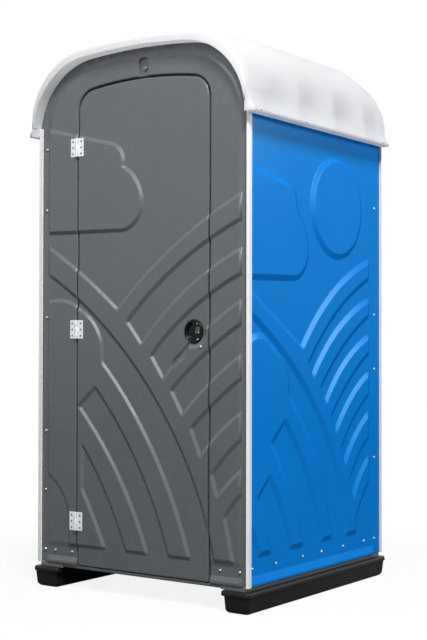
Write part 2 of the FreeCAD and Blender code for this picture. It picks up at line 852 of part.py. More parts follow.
def roof_screws():
    x = half_width + lip_overhang
    z = eave_height + roof_screw_rise
    heads = []
    for y in roof_screw_spots:
        heads.append(head(x, y, z, RIGHT, rivet_radius, rivet_height))
        heads.append(head(-x, y, z, -RIGHT, rivet_radius, rivet_height))
    return Part.makeCompound(heads)


def lock_cup():
    """The round black cup in the door: finger pocket on the left, bar with window on the right."""
    flange = rod(cup_radius, Vector(lock_x, front_face - cup_flange, lock_z), BACK, cup_flange)
    body = rod(cup_body_radius, Vector(lock_x, front_face, lock_z), BACK, door_thickness)
    chamber_start = Vector(lock_x, door_back - chamber_depth, lock_z)
    chamber = rod(chamber_radius, chamber_start, BACK, chamber_depth + 1)
    pocket = rod(chamber_radius, Vector(lock_x, front_face - cup_flange, lock_z), BACK, cup_pocket_depth)
    pocket = pocket.common(box(lock_x - cup_radius, lock_x + cup_bar_left, front_face - wall_thickness,
                               door_back, lock_z - cup_radius, lock_z + cup_radius))
    x = lock_x + window_x
    z = lock_z + window_z
    window = box(x - window_wide / 2, x + window_wide / 2, front_face - cup_flange - 1, door_back,
                 z - window_tall / 2, z + window_tall / 2)
    return fused([flange, body]).cut(chamber).cut(pocket).cut(window)


def lock_window():
    x = lock_x + window_x
    z = lock_z + window_z
    gap = touch_gap / 3
    return box(x - window_wide / 2 + gap, x + window_wide / 2 - gap, front_face, front_face + window_pane,
               z - window_tall / 2 + gap, z + window_tall / 2 - gap)


def occupancy_disc():
    y = door_back - chamber_depth + disc_gap
    return rod(disc_radius, Vector(lock_x, y, lock_z), BACK, disc_thickness)


def lock_spindle():
    """The spindle with its crank disc and crank pin, at the open end of its turn."""
    disc_back = door_back - chamber_depth + disc_gap + disc_thickness
    crank_front = door_back + case_clearance
    crank_back = crank_front + crank_thickness
    case_back = door_back + case_depth
    shaft = rod(spindle_radius, Vector(lock_x, disc_back, lock_z), BACK, case_back - disc_back)
    offset = crank_throw * math.sqrt(0.5)
    arm = box(-crank_width / 2, crank_throw + crank_width / 2, crank_front, crank_back,
              -crank_width / 2, crank_width / 2)
    arm.rotate(Vector(0, 0, 0), FRONT, 135)
    arm.translate(Vector(lock_x, 0, lock_z))
    pin = rod(crank_pin_radius, Vector(lock_x - offset, crank_back, lock_z + offset), BACK, bolt_thickness)
    return fused([shaft, arm, pin])


def latch_bolt():
    """The sliding bolt, drawn back, with its cross slot for the crank pin."""
    y0 = door_back + bolt_plane
    y1 = y0 + bolt_thickness
    tip = lock_x + case_right
    tail = lock_x - crank_throw * math.sqrt(0.5) - crank_pin_radius - crank_slack - 6.0
    top = lock_z + crank_throw + crank_pin_radius + crank_slack + 5.0
    plate = box(tail, tip, y0, y1, lock_z - bolt_tall / 2, top)
    slot_x = lock_x - crank_throw * math.sqrt(0.5)
    half_slot = crank_pin_radius + crank_slack
    cross = box(slot_x - half_slot, slot_x + half_slot, y0 - 1, y1 + 1,
                lock_z + crank_throw * math.sqrt(0.5) - half_slot, lock_z + crank_throw + half_slot)
    half_way = spindle_radius + case_clearance
    way = box(lock_x - bolt_travel - half_way, lock_x + half_way, y0 - 1, y1 + 1,
              lock_z - half_way, lock_z + half_way)
    return plate.cut(cross).cut(way)


def lock_case():
    """The cover on the inside of the door that guides the bolt."""
    x0 = lock_x - case_left
    x1 = lock_x + case_right
    z0 = lock_z - case_half_tall
    z1 = lock_z + case_half_tall
    back = door_back + case_depth
    shell = box(x0, x1, door_back, back, z0, z1)
    inside = box(x0 + case_wall, x1 - case_wall, door_back - 1, back - case_wall,
                 z0 + case_wall, z1 - case_wall)
    y0 = door_back + bolt_plane - case_clearance
    y1 = door_back + bolt_plane + bolt_thickness + case_clearance
    top = lock_z + crank_throw + crank_pin_radius + crank_slack + 5.0
    way = box(x1 - case_wall - 1, x1 + 1, y0, y1,
              lock_z - bolt_tall / 2 - case_clearance, top + case_clearance)
    bore_start = Vector(lock_x, back - case_wall - 1, lock_z)
    bore = rod(spindle_radius + spindle_gap, bore_start, BACK, case_wall + 2)
    rib_z = lock_z - bolt_tall / 2 - case_clearance
    rib = box(x0 + case_wall, x1 - case_wall, y0, back - case_wall, rib_z - case_wall, rib_z)
    rib_top = box(x0 + case_wall, x1 - case_wall, y0, back - case_wall, top + case_clearance,
                  top + case_clearance + case_wall)
    return fused([shell.cut(inside), rib, rib_top]).cut(way).cut(bore)


def thumb_turn():
    """The inside knob: a round base with a bar to turn it by."""
    start = door_back + case_depth
    base = rod(turn_base_radius, Vector(lock_x, start, lock_z), BACK, turn_base_height)
    low = start + turn_base_height
    grip = box(lock_x - turn_grip_width / 2, lock_x + turn_grip_width / 2, low, low + turn_grip_height,
               lock_z - turn_grip_length / 2, lock_z + turn_grip_length / 2)
    edges = [e for e in grip.Edges if e.BoundBox.YMin > low + turn_grip_height - 0.01]
    return fused([base, grip.makeChamfer(turn_grip_width / 4, edges)])


def keeper_plate():
    x0 = opening_right - stop_overlap
    return box(x0, x0 + keeper_wide, stop_back, stop_back + keeper_thickness,
               lock_z - keeper_half_tall, lock_z + keeper_half_tall)


def lock_screws():
    face = front_face - cup_flange
    heads = [head(lock_x + lock_screw_x, face, lock_z + side * lock_screw_z, FRONT,
                  small_rivet_radius, small_rivet_height) for side in (-1, 1)]
    return Part.makeCompound(heads)


def case_screws():
    back = door_back + case_depth
    heads = []
    for x in (lock_x - case_left + 12.0, lock_x + case_right - 12.0):
        for side in (-1, 1):
            heads.append(head(x, back, lock_z + side * (case_half_tall - 11.0), BACK,
                              small_rivet_radius, small_rivet_height))
    return Part.makeCompound(heads)


def door_rivet():
    return head(door_rivet_x, front_face - front_relief, door_rivet_z, FRONT, rivet_radius, rivet_height)


def door_pull():
    """A moulded bow handle on the inside of the door."""
    out = door_back + pull_reach
    low = pull_z - pull_length / 2
    high = pull_z + pull_length / 2
    foot = pull_thickness * 1.5
    inner = out - pull_thickness
    middle = (pull_x - pull_width / 2, pull_width)
    outline = [
        ((door_back, low - foot), None, (door_back, low)),
        ((door_back, low), None, (inner, low + foot)),
        ((inner, low + foot), None, (inner, high - foot)),
        ((inner, high - foot), None, (door_back, high)),
        ((door_back, high), None, (door_back, high + foot)),
        ((door_back, high + foot), (out - foot / 2, high), (out, high - foot)),
        ((out, high - foot), None, (out, low + foot)),
        ((out, low + foot), (out - foot / 2, low), (door_back, low - foot)),
    ]
    return side_profile(outline, middle[0], middle[1])


def side_profile(outline, x, width):
    """A piece cut from a profile of y and z, from one x across a width."""
    edges = []
    for start, bend, end in outline:
        first = Vector(x, start[0], start[1])
        last = Vector(x, end[0], end[1])
        if bend is None:
            edges.append(Part.LineSegment(first, last).toShape())
        else:
            edges.append(Part.Arc(first, Vector(x, bend[0], bend[1]), last).toShape())
    return Part.Face(Part.Wire(edges)).extrude(RIGHT * width)


def tank_sides():
    side = half_width - wall_setback - wall_thickness - post_leg_thickness - floor_edge_gap
    return side - upstand_thickness - tank_side_gap


def tank_block(inset, z0, z1):
    """The tank's outline in plan, made smaller by an inset, between two heights."""
    side = tank_sides() - inset
    rear = tank_sides() - inset
    block = box(-side, side, tank_front + inset, rear, z0, z1)
    upright = [e for e in block.Edges if abs(e.tangentAt(e.FirstParameter).z) > 0.99]
    return block.makeFillet(tank_corner - inset, upright)


def waste_tank():
    outside = tank_block(0.0, floor_level, tank_top)
    inside = tank_block(tank_wall, floor_level + tank_wall, tank_top + 1)
    return outside.cut(inside)


def oval(half_wide, half_long, y, z0, z1):
    """An oval slab: a circle's ends joined by straight sides, along y."""
    straight = half_long - half_wide
    middle = box(-half_wide, half_wide, y - straight, y + straight, z0, z1)
    front = rod(half_wide, Vector(0, y - straight, z0), UP, z1 - z0)
    rear = rod(half_wide, Vector(0, y + straight, z0), UP, z1 - z0)
    return fused([middle, front, rear])


def seat_deck():
    """The cover that closes the tank and carries the seat."""
    slab = tank_block(0.0, tank_top, deck_top)
    hole = oval(seat_hole_half_width + deck_hole_margin, seat_hole_half_length + deck_hole_margin, seat_y,
                tank_top - 1, deck_top + 1)
    vent = rod(vent_radius + vent_gap, Vector(vent_x, vent_y, tank_top - 1), UP, deck_thickness + 2)
    return slab.cut(hole).cut(vent)


def seat_axis():
    y = seat_y + seat_hole_half_length + ring_border + seat_axis_behind
    return y, deck_top + ring_thickness + seat_axis_height


def seat_ring():
    """The seat: an oval ring bolted to the deck, with two lugs for the lid's pin."""
    outside = oval(seat_hole_half_width + ring_border, seat_hole_half_length + ring_border, seat_y,
                   deck_top, deck_top + ring_thickness)
    hole = oval(seat_hole_half_width, seat_hole_half_length, seat_y,
                deck_top - 1, deck_top + ring_thickness + 1)
    y, z = seat_axis()
    pieces = [outside.cut(hole)]
    for side in (-1, 1):
        x = side * seat_knuckle_spread / 2
        x0 = x - seat_knuckle_length / 2
        x1 = x + seat_knuckle_length / 2
        pieces.append(box(x0, x1, y - seat_axis_behind - ring_border / 2, y + seat_knuckle_radius,
                          deck_top, deck_top + ring_thickness / 2))
        pieces.append(box(x0, x1, y - seat_knuckle_radius, y + seat_knuckle_radius,
                          deck_top, z + seat_knuckle_radius))
    bore_start = Vector(-seat_knuckle_spread, y, z)
    bore = rod(seat_pin_radius + pin_clearance, bore_start, RIGHT, seat_knuckle_spread * 2)
    return fused(pieces).cut(bore)


def seat_lid():
    y, z = seat_axis()
    low = deck_top + ring_thickness + lid_gap
    plate = oval(seat_hole_half_width + ring_border, seat_hole_half_length + ring_border, seat_y,
                 low, low + lid_thickness)
    x1 = seat_knuckle_spread / 2 - seat_knuckle_length / 2 - 1.0
    barrel = rod(seat_knuckle_radius, Vector(-x1, y, z), RIGHT, 2 * x1)
    neck = box(-x1, x1, y - seat_axis_behind - ring_border / 2, y, low, low + lid_thickness)
    bore = rod(seat_pin_radius + pin_clearance, Vector(-x1 - 1, y, z), RIGHT, 2 * x1 + 2)
    return fused([plate, neck, barrel]).cut(bore)


def seat_hinge_pin():
    y, z = seat_axis()
    half = seat_knuckle_spread / 2 + seat_knuckle_length / 2 + 4.0
    return rod(seat_pin_radius, Vector(-half, y, z), RIGHT, 2 * half)


def vent_pipe():
    base = Vector(vent_x, vent_y, tank_top - vent_drop)
    tube = rod(vent_radius, base, UP, vent_top - tank_top + vent_drop)
    flange = rod(vent_flange_radius, Vector(vent_x, vent_y, deck_top), UP, vent_flange_height)
    bore = rod(vent_radius - vent_wall, base - UP, UP, vent_top - tank_top + vent_drop + 2)
    return fused([tube, flange]).cut(bore)


def vent_pipe_clip():
    """A strap around the vent pipe with a foot on the rear wall."""
    wall = half_depth - wall_setback - wall_thickness
    inner = vent_radius + vent_gap
    ring = rod(inner + clip_thickness, Vector(vent_x, vent_y, clip_z), UP, clip_width)
    foot = box(vent_x - clip_foot_wide / 2, vent_x + clip_foot_wide / 2, wall - clip_thickness, wall,
               clip_z, clip_z + clip_width)
    stem = box(vent_x - clip_thickness * 2, vent_x + clip_thickness * 2, vent_y + inner, wall,
               clip_z, clip_z + clip_width)
    bore = rod(inner, Vector(vent_x, vent_y, clip_z - 1), UP, clip_width + 2)
    return fused([ring, foot, stem]).cut(bore)


def paper_axis_x():
    return -(half_width - wall_setback - wall_thickness) + paper_arm_reach - paper_arm_half


def paper_holder():
    """A bracket on the left wall with two arms for the roll's spindle."""
    wall = -(half_width - wall_setback - wall_thickness)
    half = paper_inner_width / 2
    low = paper_z - paper_back_tall / 2
    plate = box(wall, wall + paper_back_thickness, paper_y - half - paper_arm_thickness,
                paper_y + half + paper_arm_thickness, low, low + paper_back_tall)
    pieces = [plate]
    for side in (-1, 1):
        y = paper_y + side * (half + paper_arm_thickness / 2)
        y0 = y - paper_arm_thickness / 2
        pieces.append(box(wall, wall + paper_arm_reach, y0, y0 + paper_arm_thickness,
                          paper_z - paper_arm_half, paper_z + paper_arm_half))
    bore = rod(paper_journal_radius + paper_journal_gap,
               Vector(paper_axis_x(), paper_y - half * 2, paper_z), BACK, half * 4)
    return fused(pieces).cut(bore)


def paper_spindle():
    half = paper_inner_width / 2
    body = rod(paper_spindle_radius, Vector(paper_axis_x(), paper_y - half + paper_end_gap, paper_z), BACK,
               2 * half - 2 * paper_end_gap)
    start = Vector(paper_axis_x(), paper_y - half - paper_arm_thickness, paper_z)
    journal = rod(paper_journal_radius, start, BACK, 2 * half + 2 * paper_arm_thickness)
    return fused([body, journal])


def coat_hook():
    """A plate on the left wall with an upturned hook, cut from one profile of x and z."""
    wall = -(half_width - wall_setback - wall_thickness)
    front = wall + hook_plate_thickness
    top = hook_z + hook_plate_tall / 2
    foot = hook_z - hook_plate_tall / 2
    tip = front + hook_reach
    inner = tip - hook_thickness
    rise = foot + hook_reach
    outline = segments(
        (wall, foot), (wall, top), (front, top), (front, foot + hook_reach / 2),
        (((front + inner) / 2, foot + hook_thickness), (inner, foot + hook_reach / 2)),
        (inner, rise), (tip, rise), (tip, foot + hook_reach / 2),
        (((front + tip) / 2, foot), (front, foot)),
    )
    return prism(outline, hook_y - hook_plate_wide / 2, hook_y + hook_plate_wide / 2)


def all_parts():
    """Every named piece of the cabin."""
    right_skid = skid()
    front_post = corner_post(half_width, half_depth)
    rear_post = turned(corner_post(half_depth, half_width), -90)
    side_wall = right_wall()
    parts = {
        "skid_right": right_skid,
        "skid_left": mirrored(right_skid),
        "floor_pan": floor_pan(),
        "corner_post_front_left": front_post,
        "corner_post_front_right": mirrored(front_post),
        "corner_post_rear_left": rear_post,
        "corner_post_rear_right": mirrored(rear_post),
        "front_frame": front_frame(),
        "right_wall": side_wall,
        "left_wall": mirrored(side_wall),
        "rear_wall": rear_wall(),
        "roof": roof(),
        "door_panel": door_panel(),
        "anchor_bolt": anchor_bolt(),
        "front_rivets": front_rivets(),
        "roof_screws": roof_screws(),
        "lock_cup": lock_cup(),
        "lock_window": lock_window(),
        "occupancy_disc": occupancy_disc(),
        "lock_spindle": lock_spindle(),
        "thumb_turn": thumb_turn(),
        "lock_case": lock_case(),
        "latch_bolt": latch_bolt(),
        "keeper_plate": keeper_plate(),
        "lock_screws": lock_screws(),
        "case_screws": case_screws(),
        "door_rivet": door_rivet(),
        "door_pull": door_pull(),
        "hinge_rivets_frame": hinge_rivets(-1),
        "hinge_rivets_door": hinge_rivets(1),
        "waste_tank": waste_tank(),
        "seat_deck": seat_deck(),
        "seat_ring": seat_ring(),
        "seat_lid": seat_lid(),
        "seat_hinge_pin": seat_hinge_pin(),
        "vent_pipe": vent_pipe(),
        "vent_pipe_clip": vent_pipe_clip(),
        "paper_holder": paper_holder(),
        "paper_spindle": paper_spindle(),
        "coat_hook": coat_hook(),
    }
    side_span = half_depth - post_size
    side_face = -(half_width - wall_setback)
    right_rivets = wall_rivets(side_span, side_face, 90)
    parts["right_wall_rivets"] = right_rivets
    parts["left_wall_rivets"] = mirrored(right_rivets)
    parts["rear_wall_rivets"] = wall_rivets(half_width - post_size, -(half_depth - wall_setback), 180)
    for name, height in hinge_heights.items():
        frame_leaf, door_leaf, pin = hinge(height)
        parts["hinge_" + name + "_frame_leaf"] = frame_leaf
        parts["hinge_" + name + "_door_leaf"] = door_leaf
        parts["hinge_" + name + "_pin"] = pin
    return parts


def main():
    os.makedirs("parts", exist_ok=True)
    for name, shape in all_parts().items():
        shape.exportStep("parts/" + name + ".step")


main()
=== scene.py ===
import bpy
import bmesh
import json
import math
import numpy as np
from mathutils import Vector, Matrix
from mathutils.geometry import delaunay_2d_cdt


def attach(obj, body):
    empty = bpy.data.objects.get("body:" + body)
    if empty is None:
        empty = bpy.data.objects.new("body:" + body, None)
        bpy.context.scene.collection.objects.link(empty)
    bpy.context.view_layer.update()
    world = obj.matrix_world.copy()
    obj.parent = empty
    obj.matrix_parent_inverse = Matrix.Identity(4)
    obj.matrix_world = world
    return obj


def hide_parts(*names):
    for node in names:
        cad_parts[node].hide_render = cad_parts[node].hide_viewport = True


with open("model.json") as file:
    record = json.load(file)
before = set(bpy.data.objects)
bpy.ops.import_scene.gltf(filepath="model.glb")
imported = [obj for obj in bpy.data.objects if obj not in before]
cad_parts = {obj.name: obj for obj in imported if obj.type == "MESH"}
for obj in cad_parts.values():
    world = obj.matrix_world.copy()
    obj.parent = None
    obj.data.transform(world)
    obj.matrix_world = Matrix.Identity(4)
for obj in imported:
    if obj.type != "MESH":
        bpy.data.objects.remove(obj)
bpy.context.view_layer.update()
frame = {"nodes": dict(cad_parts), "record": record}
nodes = frame["nodes"]

# Sizes in millimetres, most of them the same as in the solids
MM = 0.001
HALF = 550.0
BASE = 103.0
EAVE = 1947.0
WALL_TOP = 1985.0
FACE = -540.0
THICK = 20.0
DOOR_THICK = 25.0
DOOR_BACK = FACE + DOOR_THICK
STOP_FRONT = DOOR_BACK + 0.3
STOP_BACK = STOP_FRONT + 6.7
FRONT_HALF = 540.0
SIDE_FRONT = -526.0
SIDE_REAR = 540.0
REAR_HALF = 526.0
ARCH_HALF = 556.0
ARCH_CROWN = 2272.0
ARCH_RADIUS = 2835.0
ARCH_SHOULDER = 318.0
SIDE_FIGURES_END = 430.0
SIDE_RELIEF = 9.0
SIDE_DRAFT = 24.0
FRONT_RELIEF = 8.0
FRONT_DRAFT = 14.0
FIELD_LEFT = -495.0
FIELD_RIGHT = 508.0
EDGE_ROUND = 4.0
SOFT = 2.5
ARC_STEP = 14.0
OPEN_LEFT = -332.0
OPEN_RIGHT = 360.0
OPEN_CREST = 2148.0
OPEN_RADIUS = 1817.0
OPEN_CORNER = 93.0
LOCK = (281.0, 1096.0)
HINGE_HEIGHTS = (294.0, 1108.0, 1884.0)
HINGE_X = -329.5


def segments(start, *steps):
    """An outline, x along the wall and z up, from corners or pairs (point on arc, end of arc)."""
    path = []
    here = start
    for step in steps:
        middle, end = step if isinstance(step[0], tuple) else (None, step)
        path.append((here, middle, end))
        here = end
    if here != start:
        path.append((here, None, start))
    return path


def arc_centre(a, b, c):
    """The centre of the circle through three points."""
    spread = 2 * (a[0] * (b[1] - c[1]) + b[0] * (c[1] - a[1]) + c[0] * (a[1] - b[1]))
    qa, qb, qc = (p[0] ** 2 + p[1] ** 2 for p in (a, b, c))
    x = (qa * (b[1] - c[1]) + qb * (c[1] - a[1]) + qc * (a[1] - b[1])) / spread
    z = (qa * (c[0] - b[0]) + qb * (a[0] - c[0]) + qc * (b[0] - a[0])) / spread
    return x, z


def arc(x, z, radius, start, turn, count, ends=0):
    """Points along an arc from its start, in so many steps, with its end left out or put in."""
    angles = [start + turn * k / count for k in range(count + ends)]
    return [(x + radius * math.cos(angle), z + radius * math.sin(angle)) for angle in angles]


def circle(x, z, radius):
    return arc(x, z, radius, 0.0, 2 * math.pi, 96)


def sampled(path, step=ARC_STEP):
    """A closed outline as points, its arcs divided evenly."""
    points = []
    for start, middle, end in path:
        if middle is None:
            points.append(start)
            continue
        cx, cz = arc_centre(start, middle, end)
        radius = math.hypot(start[0] - cx, start[1] - cz)
        a0, am, a1 = (math.atan2(p[1] - cz, p[0] - cx) for p in (start, middle, end))
        turn = (a1 - a0) % (2 * math.pi)
        if (am - a0) % (2 * math.pi) > turn:
            turn -= 2 * math.pi
        points += arc(cx, cz, radius, a0, turn, max(4, math.ceil(radius * abs(turn) / step)))
    return points


def eased_corner(points, corner, reach, steps=12):
    """The outline with the stretch round a corner swapped for a smooth curve."""
    near = [math.dist(p, corner) < reach for p in points]
    first = next(k for k in range(len(points)) if near[k] and not near[k - 1])
    last = next(k for k in range(first, len(points)) if not near[k])
    curve = []
    for s in (k / steps for k in range(1, steps)):
        pull = 2 * s * (1 - s)
        curve.append(tuple((1 - s) ** 2 * a + pull * c + s * s * b
                           for a, c, b in zip(points[first - 1], corner, points[last])))
    return points[:first] + curve + points[last:]


def rectangle(x0, x1, z0, z1):
    return [(x0, z0), (x1, z0), (x1, z1), (x0, z1)]


def signed_area(points):
    """The area of a closed line, positive where it runs anticlockwise."""
    ring = zip(points, points[1:] + points[:1])
    return sum(p[0] * q[1] - q[0] * p[1] for p, q in ring) / 2


SHARPEST = 0.25


def offset(points, distance):
    """The closed line moved outwards, with its corners kept and only the keenest ones shortened."""
    turn = 1 if signed_area(points) > 0 else -1
    moved = []
    count = len(points)
    for k in range(count):
        before, here, after = points[k - 1], points[k], points[(k + 1) % count]
        n1 = np.array((here[1] - before[1], before[0] - here[0]), float)
        n2 = np.array((after[1] - here[1], here[0] - after[0]), float)
        n1 *= turn / np.hypot(*n1)
        n2 *= turn / np.hypot(*n2)
        reach = distance / max(SHARPEST, 1 + n1 @ n2)
        moved.append((here[0] + reach * (n1[0] + n2[0]), here[1] + reach * (n1[1] + n2[1])))
    return moved


BATCH = 4000


def nearest(points, loop):
    """For each point: distance to the closed line, direction away from it, and whether it is inside."""
    a = np.array(loop, float)
    b = np.roll(a, -1, axis=0)
    ab = b - a
    length2 = np.maximum((ab ** 2).sum(1), 1e-12)
    distance = np.empty(len(points))
    away = np.empty((len(points), 2))
    inside = np.zeros(len(points), bool)
    for first in range(0, len(points), BATCH):
        block = slice(first, first + BATCH)
        p = points[block]
        ap = p[:, None, :] - a[None]
        t = np.clip((ap * ab[None]).sum(2) / length2, 0, 1)
        gap = ap - t[..., None] * ab[None]
        d2 = (gap ** 2).sum(2)
        best = d2.argmin(1)
        rows = np.arange(len(p))
        distance[block] = np.sqrt(d2[rows, best])
        away[block] = gap[rows, best]
        cross = (a[None, :, 1] > p[:, None, 1]) != (b[None, :, 1] > p[:, None, 1])
        with np.errstate(divide="ignore", invalid="ignore"):
            at = a[None, :, 0] + ap[:, :, 1] / ab[None, :, 1] * ab[None, :, 0]
        inside[block] = (cross & (p[:, None, 0] < at)).sum(1) % 2 == 1
    away /= np.maximum(distance, 1e-9)[:, None]
    return distance, away, inside


SHORT_EDGE = 18.0
BESIDE_CORNER = (8.0, 20.0)
BESIDE_MIDDLE = 2.0


def divided(loop):
    """The closed line with extra points beside its corners, which keep a bent normal to the corner."""
    points = []
    for here, after in zip(loop, loop[1:] + loop[:1]):
        length = math.dist(here, after)
        stops = [0.0]
        if length > SHORT_EDGE:
            near = [s for s in BESIDE_CORNER if s < length / 2 - BESIDE_MIDDLE]
            stops += near + [length - s for s in reversed(near)]
        for s in stops:
            points.append(tuple(here[i] + (after[i] - here[i]) * s / length for i in (0, 1)))
    return points


class Figure:
    """A field that stands proud of a wall, or sinks into it, with sloping edges."""

    def __init__(self, loop, height, draft, soft=SOFT):
        self.loop = divided(loop)
        self.height = height
        self.half = draft / 2
        self.soft = min(soft, self.half * 0.8)

    def rings(self):
        """Lines along which the slope changes, for the mesh to follow."""
        h, r = self.half, self.soft
        for d in (-h - r, -h, -h + r, h - r, h, h + r):
            yield offset(self.loop, d)

    def rise(self, points):
        """The height and its slope at each point."""
        distance, away, inside = nearest(points, self.loop)
        d = np.where(inside, -distance, distance)
        direction = np.where(inside[:, None], -away, away)
        h, r = self.half, self.soft
        slope = self.height / (2 * h)
        height = np.clip(h - d, 0, 2 * h) * slope
        change = np.where((d > -h) & (d < h), -slope, 0.0)
        low = np.abs(d - h) < r
        height[low] = slope * (h + r - d[low]) ** 2 / (4 * r)
        change[low] = -slope * (h + r - d[low]) / (2 * r)
        top = np.abs(d + h) < r
        height[top] = self.height - slope * (d[top] + h + r) ** 2 / (4 * r)
        change[top] = -slope * (d[top] + h + r) / (2 * r)
        return height, direction * change[:, None]


class Cleared(Figure):
    """A raised figure that leaves the ground free inside another line."""

    def __init__(self, figure, loop):
        super().__init__(loop, figure.height, 2 * figure.half, figure.soft)
        self.figure = figure

    def rings(self):
        yield from self.figure.rings()
        yield from super().rings()

    def rise(self, points):
        h1, g1 = self.figure.rise(points)
        h2, g2 = super().rise(points)
        h2 = self.height - h2
        return np.minimum(h1, h2), np.where((h1 <= h2)[:, None], g1, -g2)


def within(spots, faces, loops):
    """Which triangles have their middle in the even-odd inside of the loops."""
    middle = spots[faces].mean(1)
    inside = np.zeros(len(faces), bool)
    for loop in loops:
        inside ^= nearest(middle, loop)[2]
    return inside


def turning(spots, faces):
    """Twice the area of each triangle, positive where it runs anticlockwise."""
    a, b, c = (spots[faces[:, k]] for k in range(3))
    return (b[:, 0] - a[:, 0]) * (c[:, 1] - a[:, 1]) - (b[:, 1] - a[:, 1]) * (c[:, 0] - a[:, 0])


def fill(loops, lines=()):
    """Triangles that fill the even-odd inside of loops, cut along the extra lines."""
    points = []
    edges = []
    for loop in list(loops) + list(lines):
        first = len(points)
        points.extend(Vector(p) for p in loop)
        edges.extend((first + k, first + (k + 1) % len(loop)) for k in range(len(loop)))
    made = delaunay_2d_cdt(points, edges, [], 0, 1e-4, False)
    spots = np.array([tuple(p) for p in made[0]])
    faces = np.array([tuple(f) for f in made[2]])
    faces = faces[within(spots, faces, loops)]
    clockwise = turning(spots, faces) < 0
    faces[clockwise] = faces[clockwise][:, ::-1]
    used, index = np.unique(faces, return_inverse=True)
    return spots[used], index.reshape(faces.shape)


def rim_edges(faces):
    """The edges used by one triangle only, in its direction."""
    edges = [(int(f[k]), int(f[(k + 1) % 3])) for f in faces for k in range(3)]
    known = set(edges)
    return [(a, b) for a, b in edges if (b, a) not in known]


def in_scene(name, data):
    """An object that holds a mesh, a lamp or a camera, linked to the scene."""
    holder = bpy.data.objects.new(name, data)
    bpy.context.scene.collection.objects.link(holder)
    return holder


def set_up(name, mesh, body, slot, stands_for, material=None):
    """Puts a mesh in the scene as a piece that rides on a body and stands for solids."""
    piece = in_scene(name, mesh)
    mesh.materials.append(material or slot_material[slot])
    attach(piece, body)
    if stands_for:
        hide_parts(*stands_for)
    return piece


def turned(x, y, turn, mirror):
    """A place or a direction turned about z, and then mirrored to the other side if asked."""
    c, s = math.cos(math.radians(turn)), math.sin(math.radians(turn))
    return (c * x - s * y) * (-1 if mirror else 1), s * x + c * y


def place(name, verts, faces, normals, body, slot, stands_for=(), turn=0.0, mirror=False):
    """Makes a mesh in the panel's frame and stands it in the cabin's frame."""
    verts = np.array(verts, float)
    normals = np.array(normals, float)
    for block in (verts, normals):
        block[:, :2] = np.column_stack(turned(block[:, 0], block[:, 1], turn, mirror))
    if mirror:
        firsts = np.cumsum([0] + [len(f) for f in faces[:-1]])
        normals = normals[[first + k for first, f in zip(firsts, faces) for k in reversed(range(len(f)))]]
        faces = [f[::-1] for f in faces]
    mesh = bpy.data.meshes.new(name)
    mesh.from_pydata([tuple(v) for v in verts * MM], [], [tuple(f) for f in faces])
    for polygon in mesh.polygons:
        polygon.use_smooth = True
    mesh.normals_split_custom_set([tuple(n) for n in normals])
    set_up(name, mesh, body, slot, stands_for)


EDGE_SHARES = (0.134, 0.5, 1.0)
STEEPEST = 0.02
TOUCHING = 1e-3


def edge_fall(spots, loop, r, side):
    """How far a rounded edge along a loop falls at each point, and the slope of that fall."""
    distance, inward, _ = nearest(spots, loop)
    s = np.clip(distance, 0.0, r)
    drop = r - np.sqrt(np.maximum(r * r - (r - s) ** 2, 0))
    steep = (r - s) / np.sqrt(np.maximum(r * r - (r - s) ** 2, (STEEPEST * r) ** 2))
    near = distance < r
    touching = distance < TOUCHING
    if touching.any():
        corners = np.array(loop, float)
        tangent = np.roll(corners, -1, axis=0) - np.roll(corners, 1, axis=0)
        sign = 1 if signed_area(loop) > 0 else -1
        normal = np.stack((tangent[:, 1], -tangent[:, 0]), 1) * sign
        normal /= np.hypot(normal[:, 0], normal[:, 1])[:, None]
        closest = ((spots[touching][:, None] - corners[None]) ** 2).sum(2).argmin(1)
        inward[touching] = normal[closest] * side
    return np.where(near, drop, 0), np.where(near, steep, 0)[:, None] * inward


def flat_back(spots, rim, loops):
    """The triangles of a panel's back, between the corners of its rim."""
    ring = sorted({v for edge in rim for v in edge})
    index = {v: k for k, v in enumerate(ring)}
    points = [Vector((spots[v, 0], spots[v, 1])) for v in ring]
    made = delaunay_2d_cdt(points, [(index[a], index[b]) for a, b in rim], [], 0, 1e-6, True)
    flat = np.array([tuple(p) for p in made[0]])
    source = np.array([ids[0] if len(ids) else -1 for ids in made[3]])
    faces = np.array([tuple(f) for f in made[2]])
    faces = faces[within(flat, faces, loops) & (source[faces] >= 0).all(1)]
    anticlockwise = turning(flat, faces) >= 0
    faces[anticlockwise] = faces[anticlockwise][:, ::-1]
    return ring, source[faces]


def side_normal(p, q):
    """The outward direction of the side wall on the rim edge from p to q."""
    side = np.array((q[1] - p[1], 0.0, -(q[0] - p[0])))
    return side / np.linalg.norm(side)


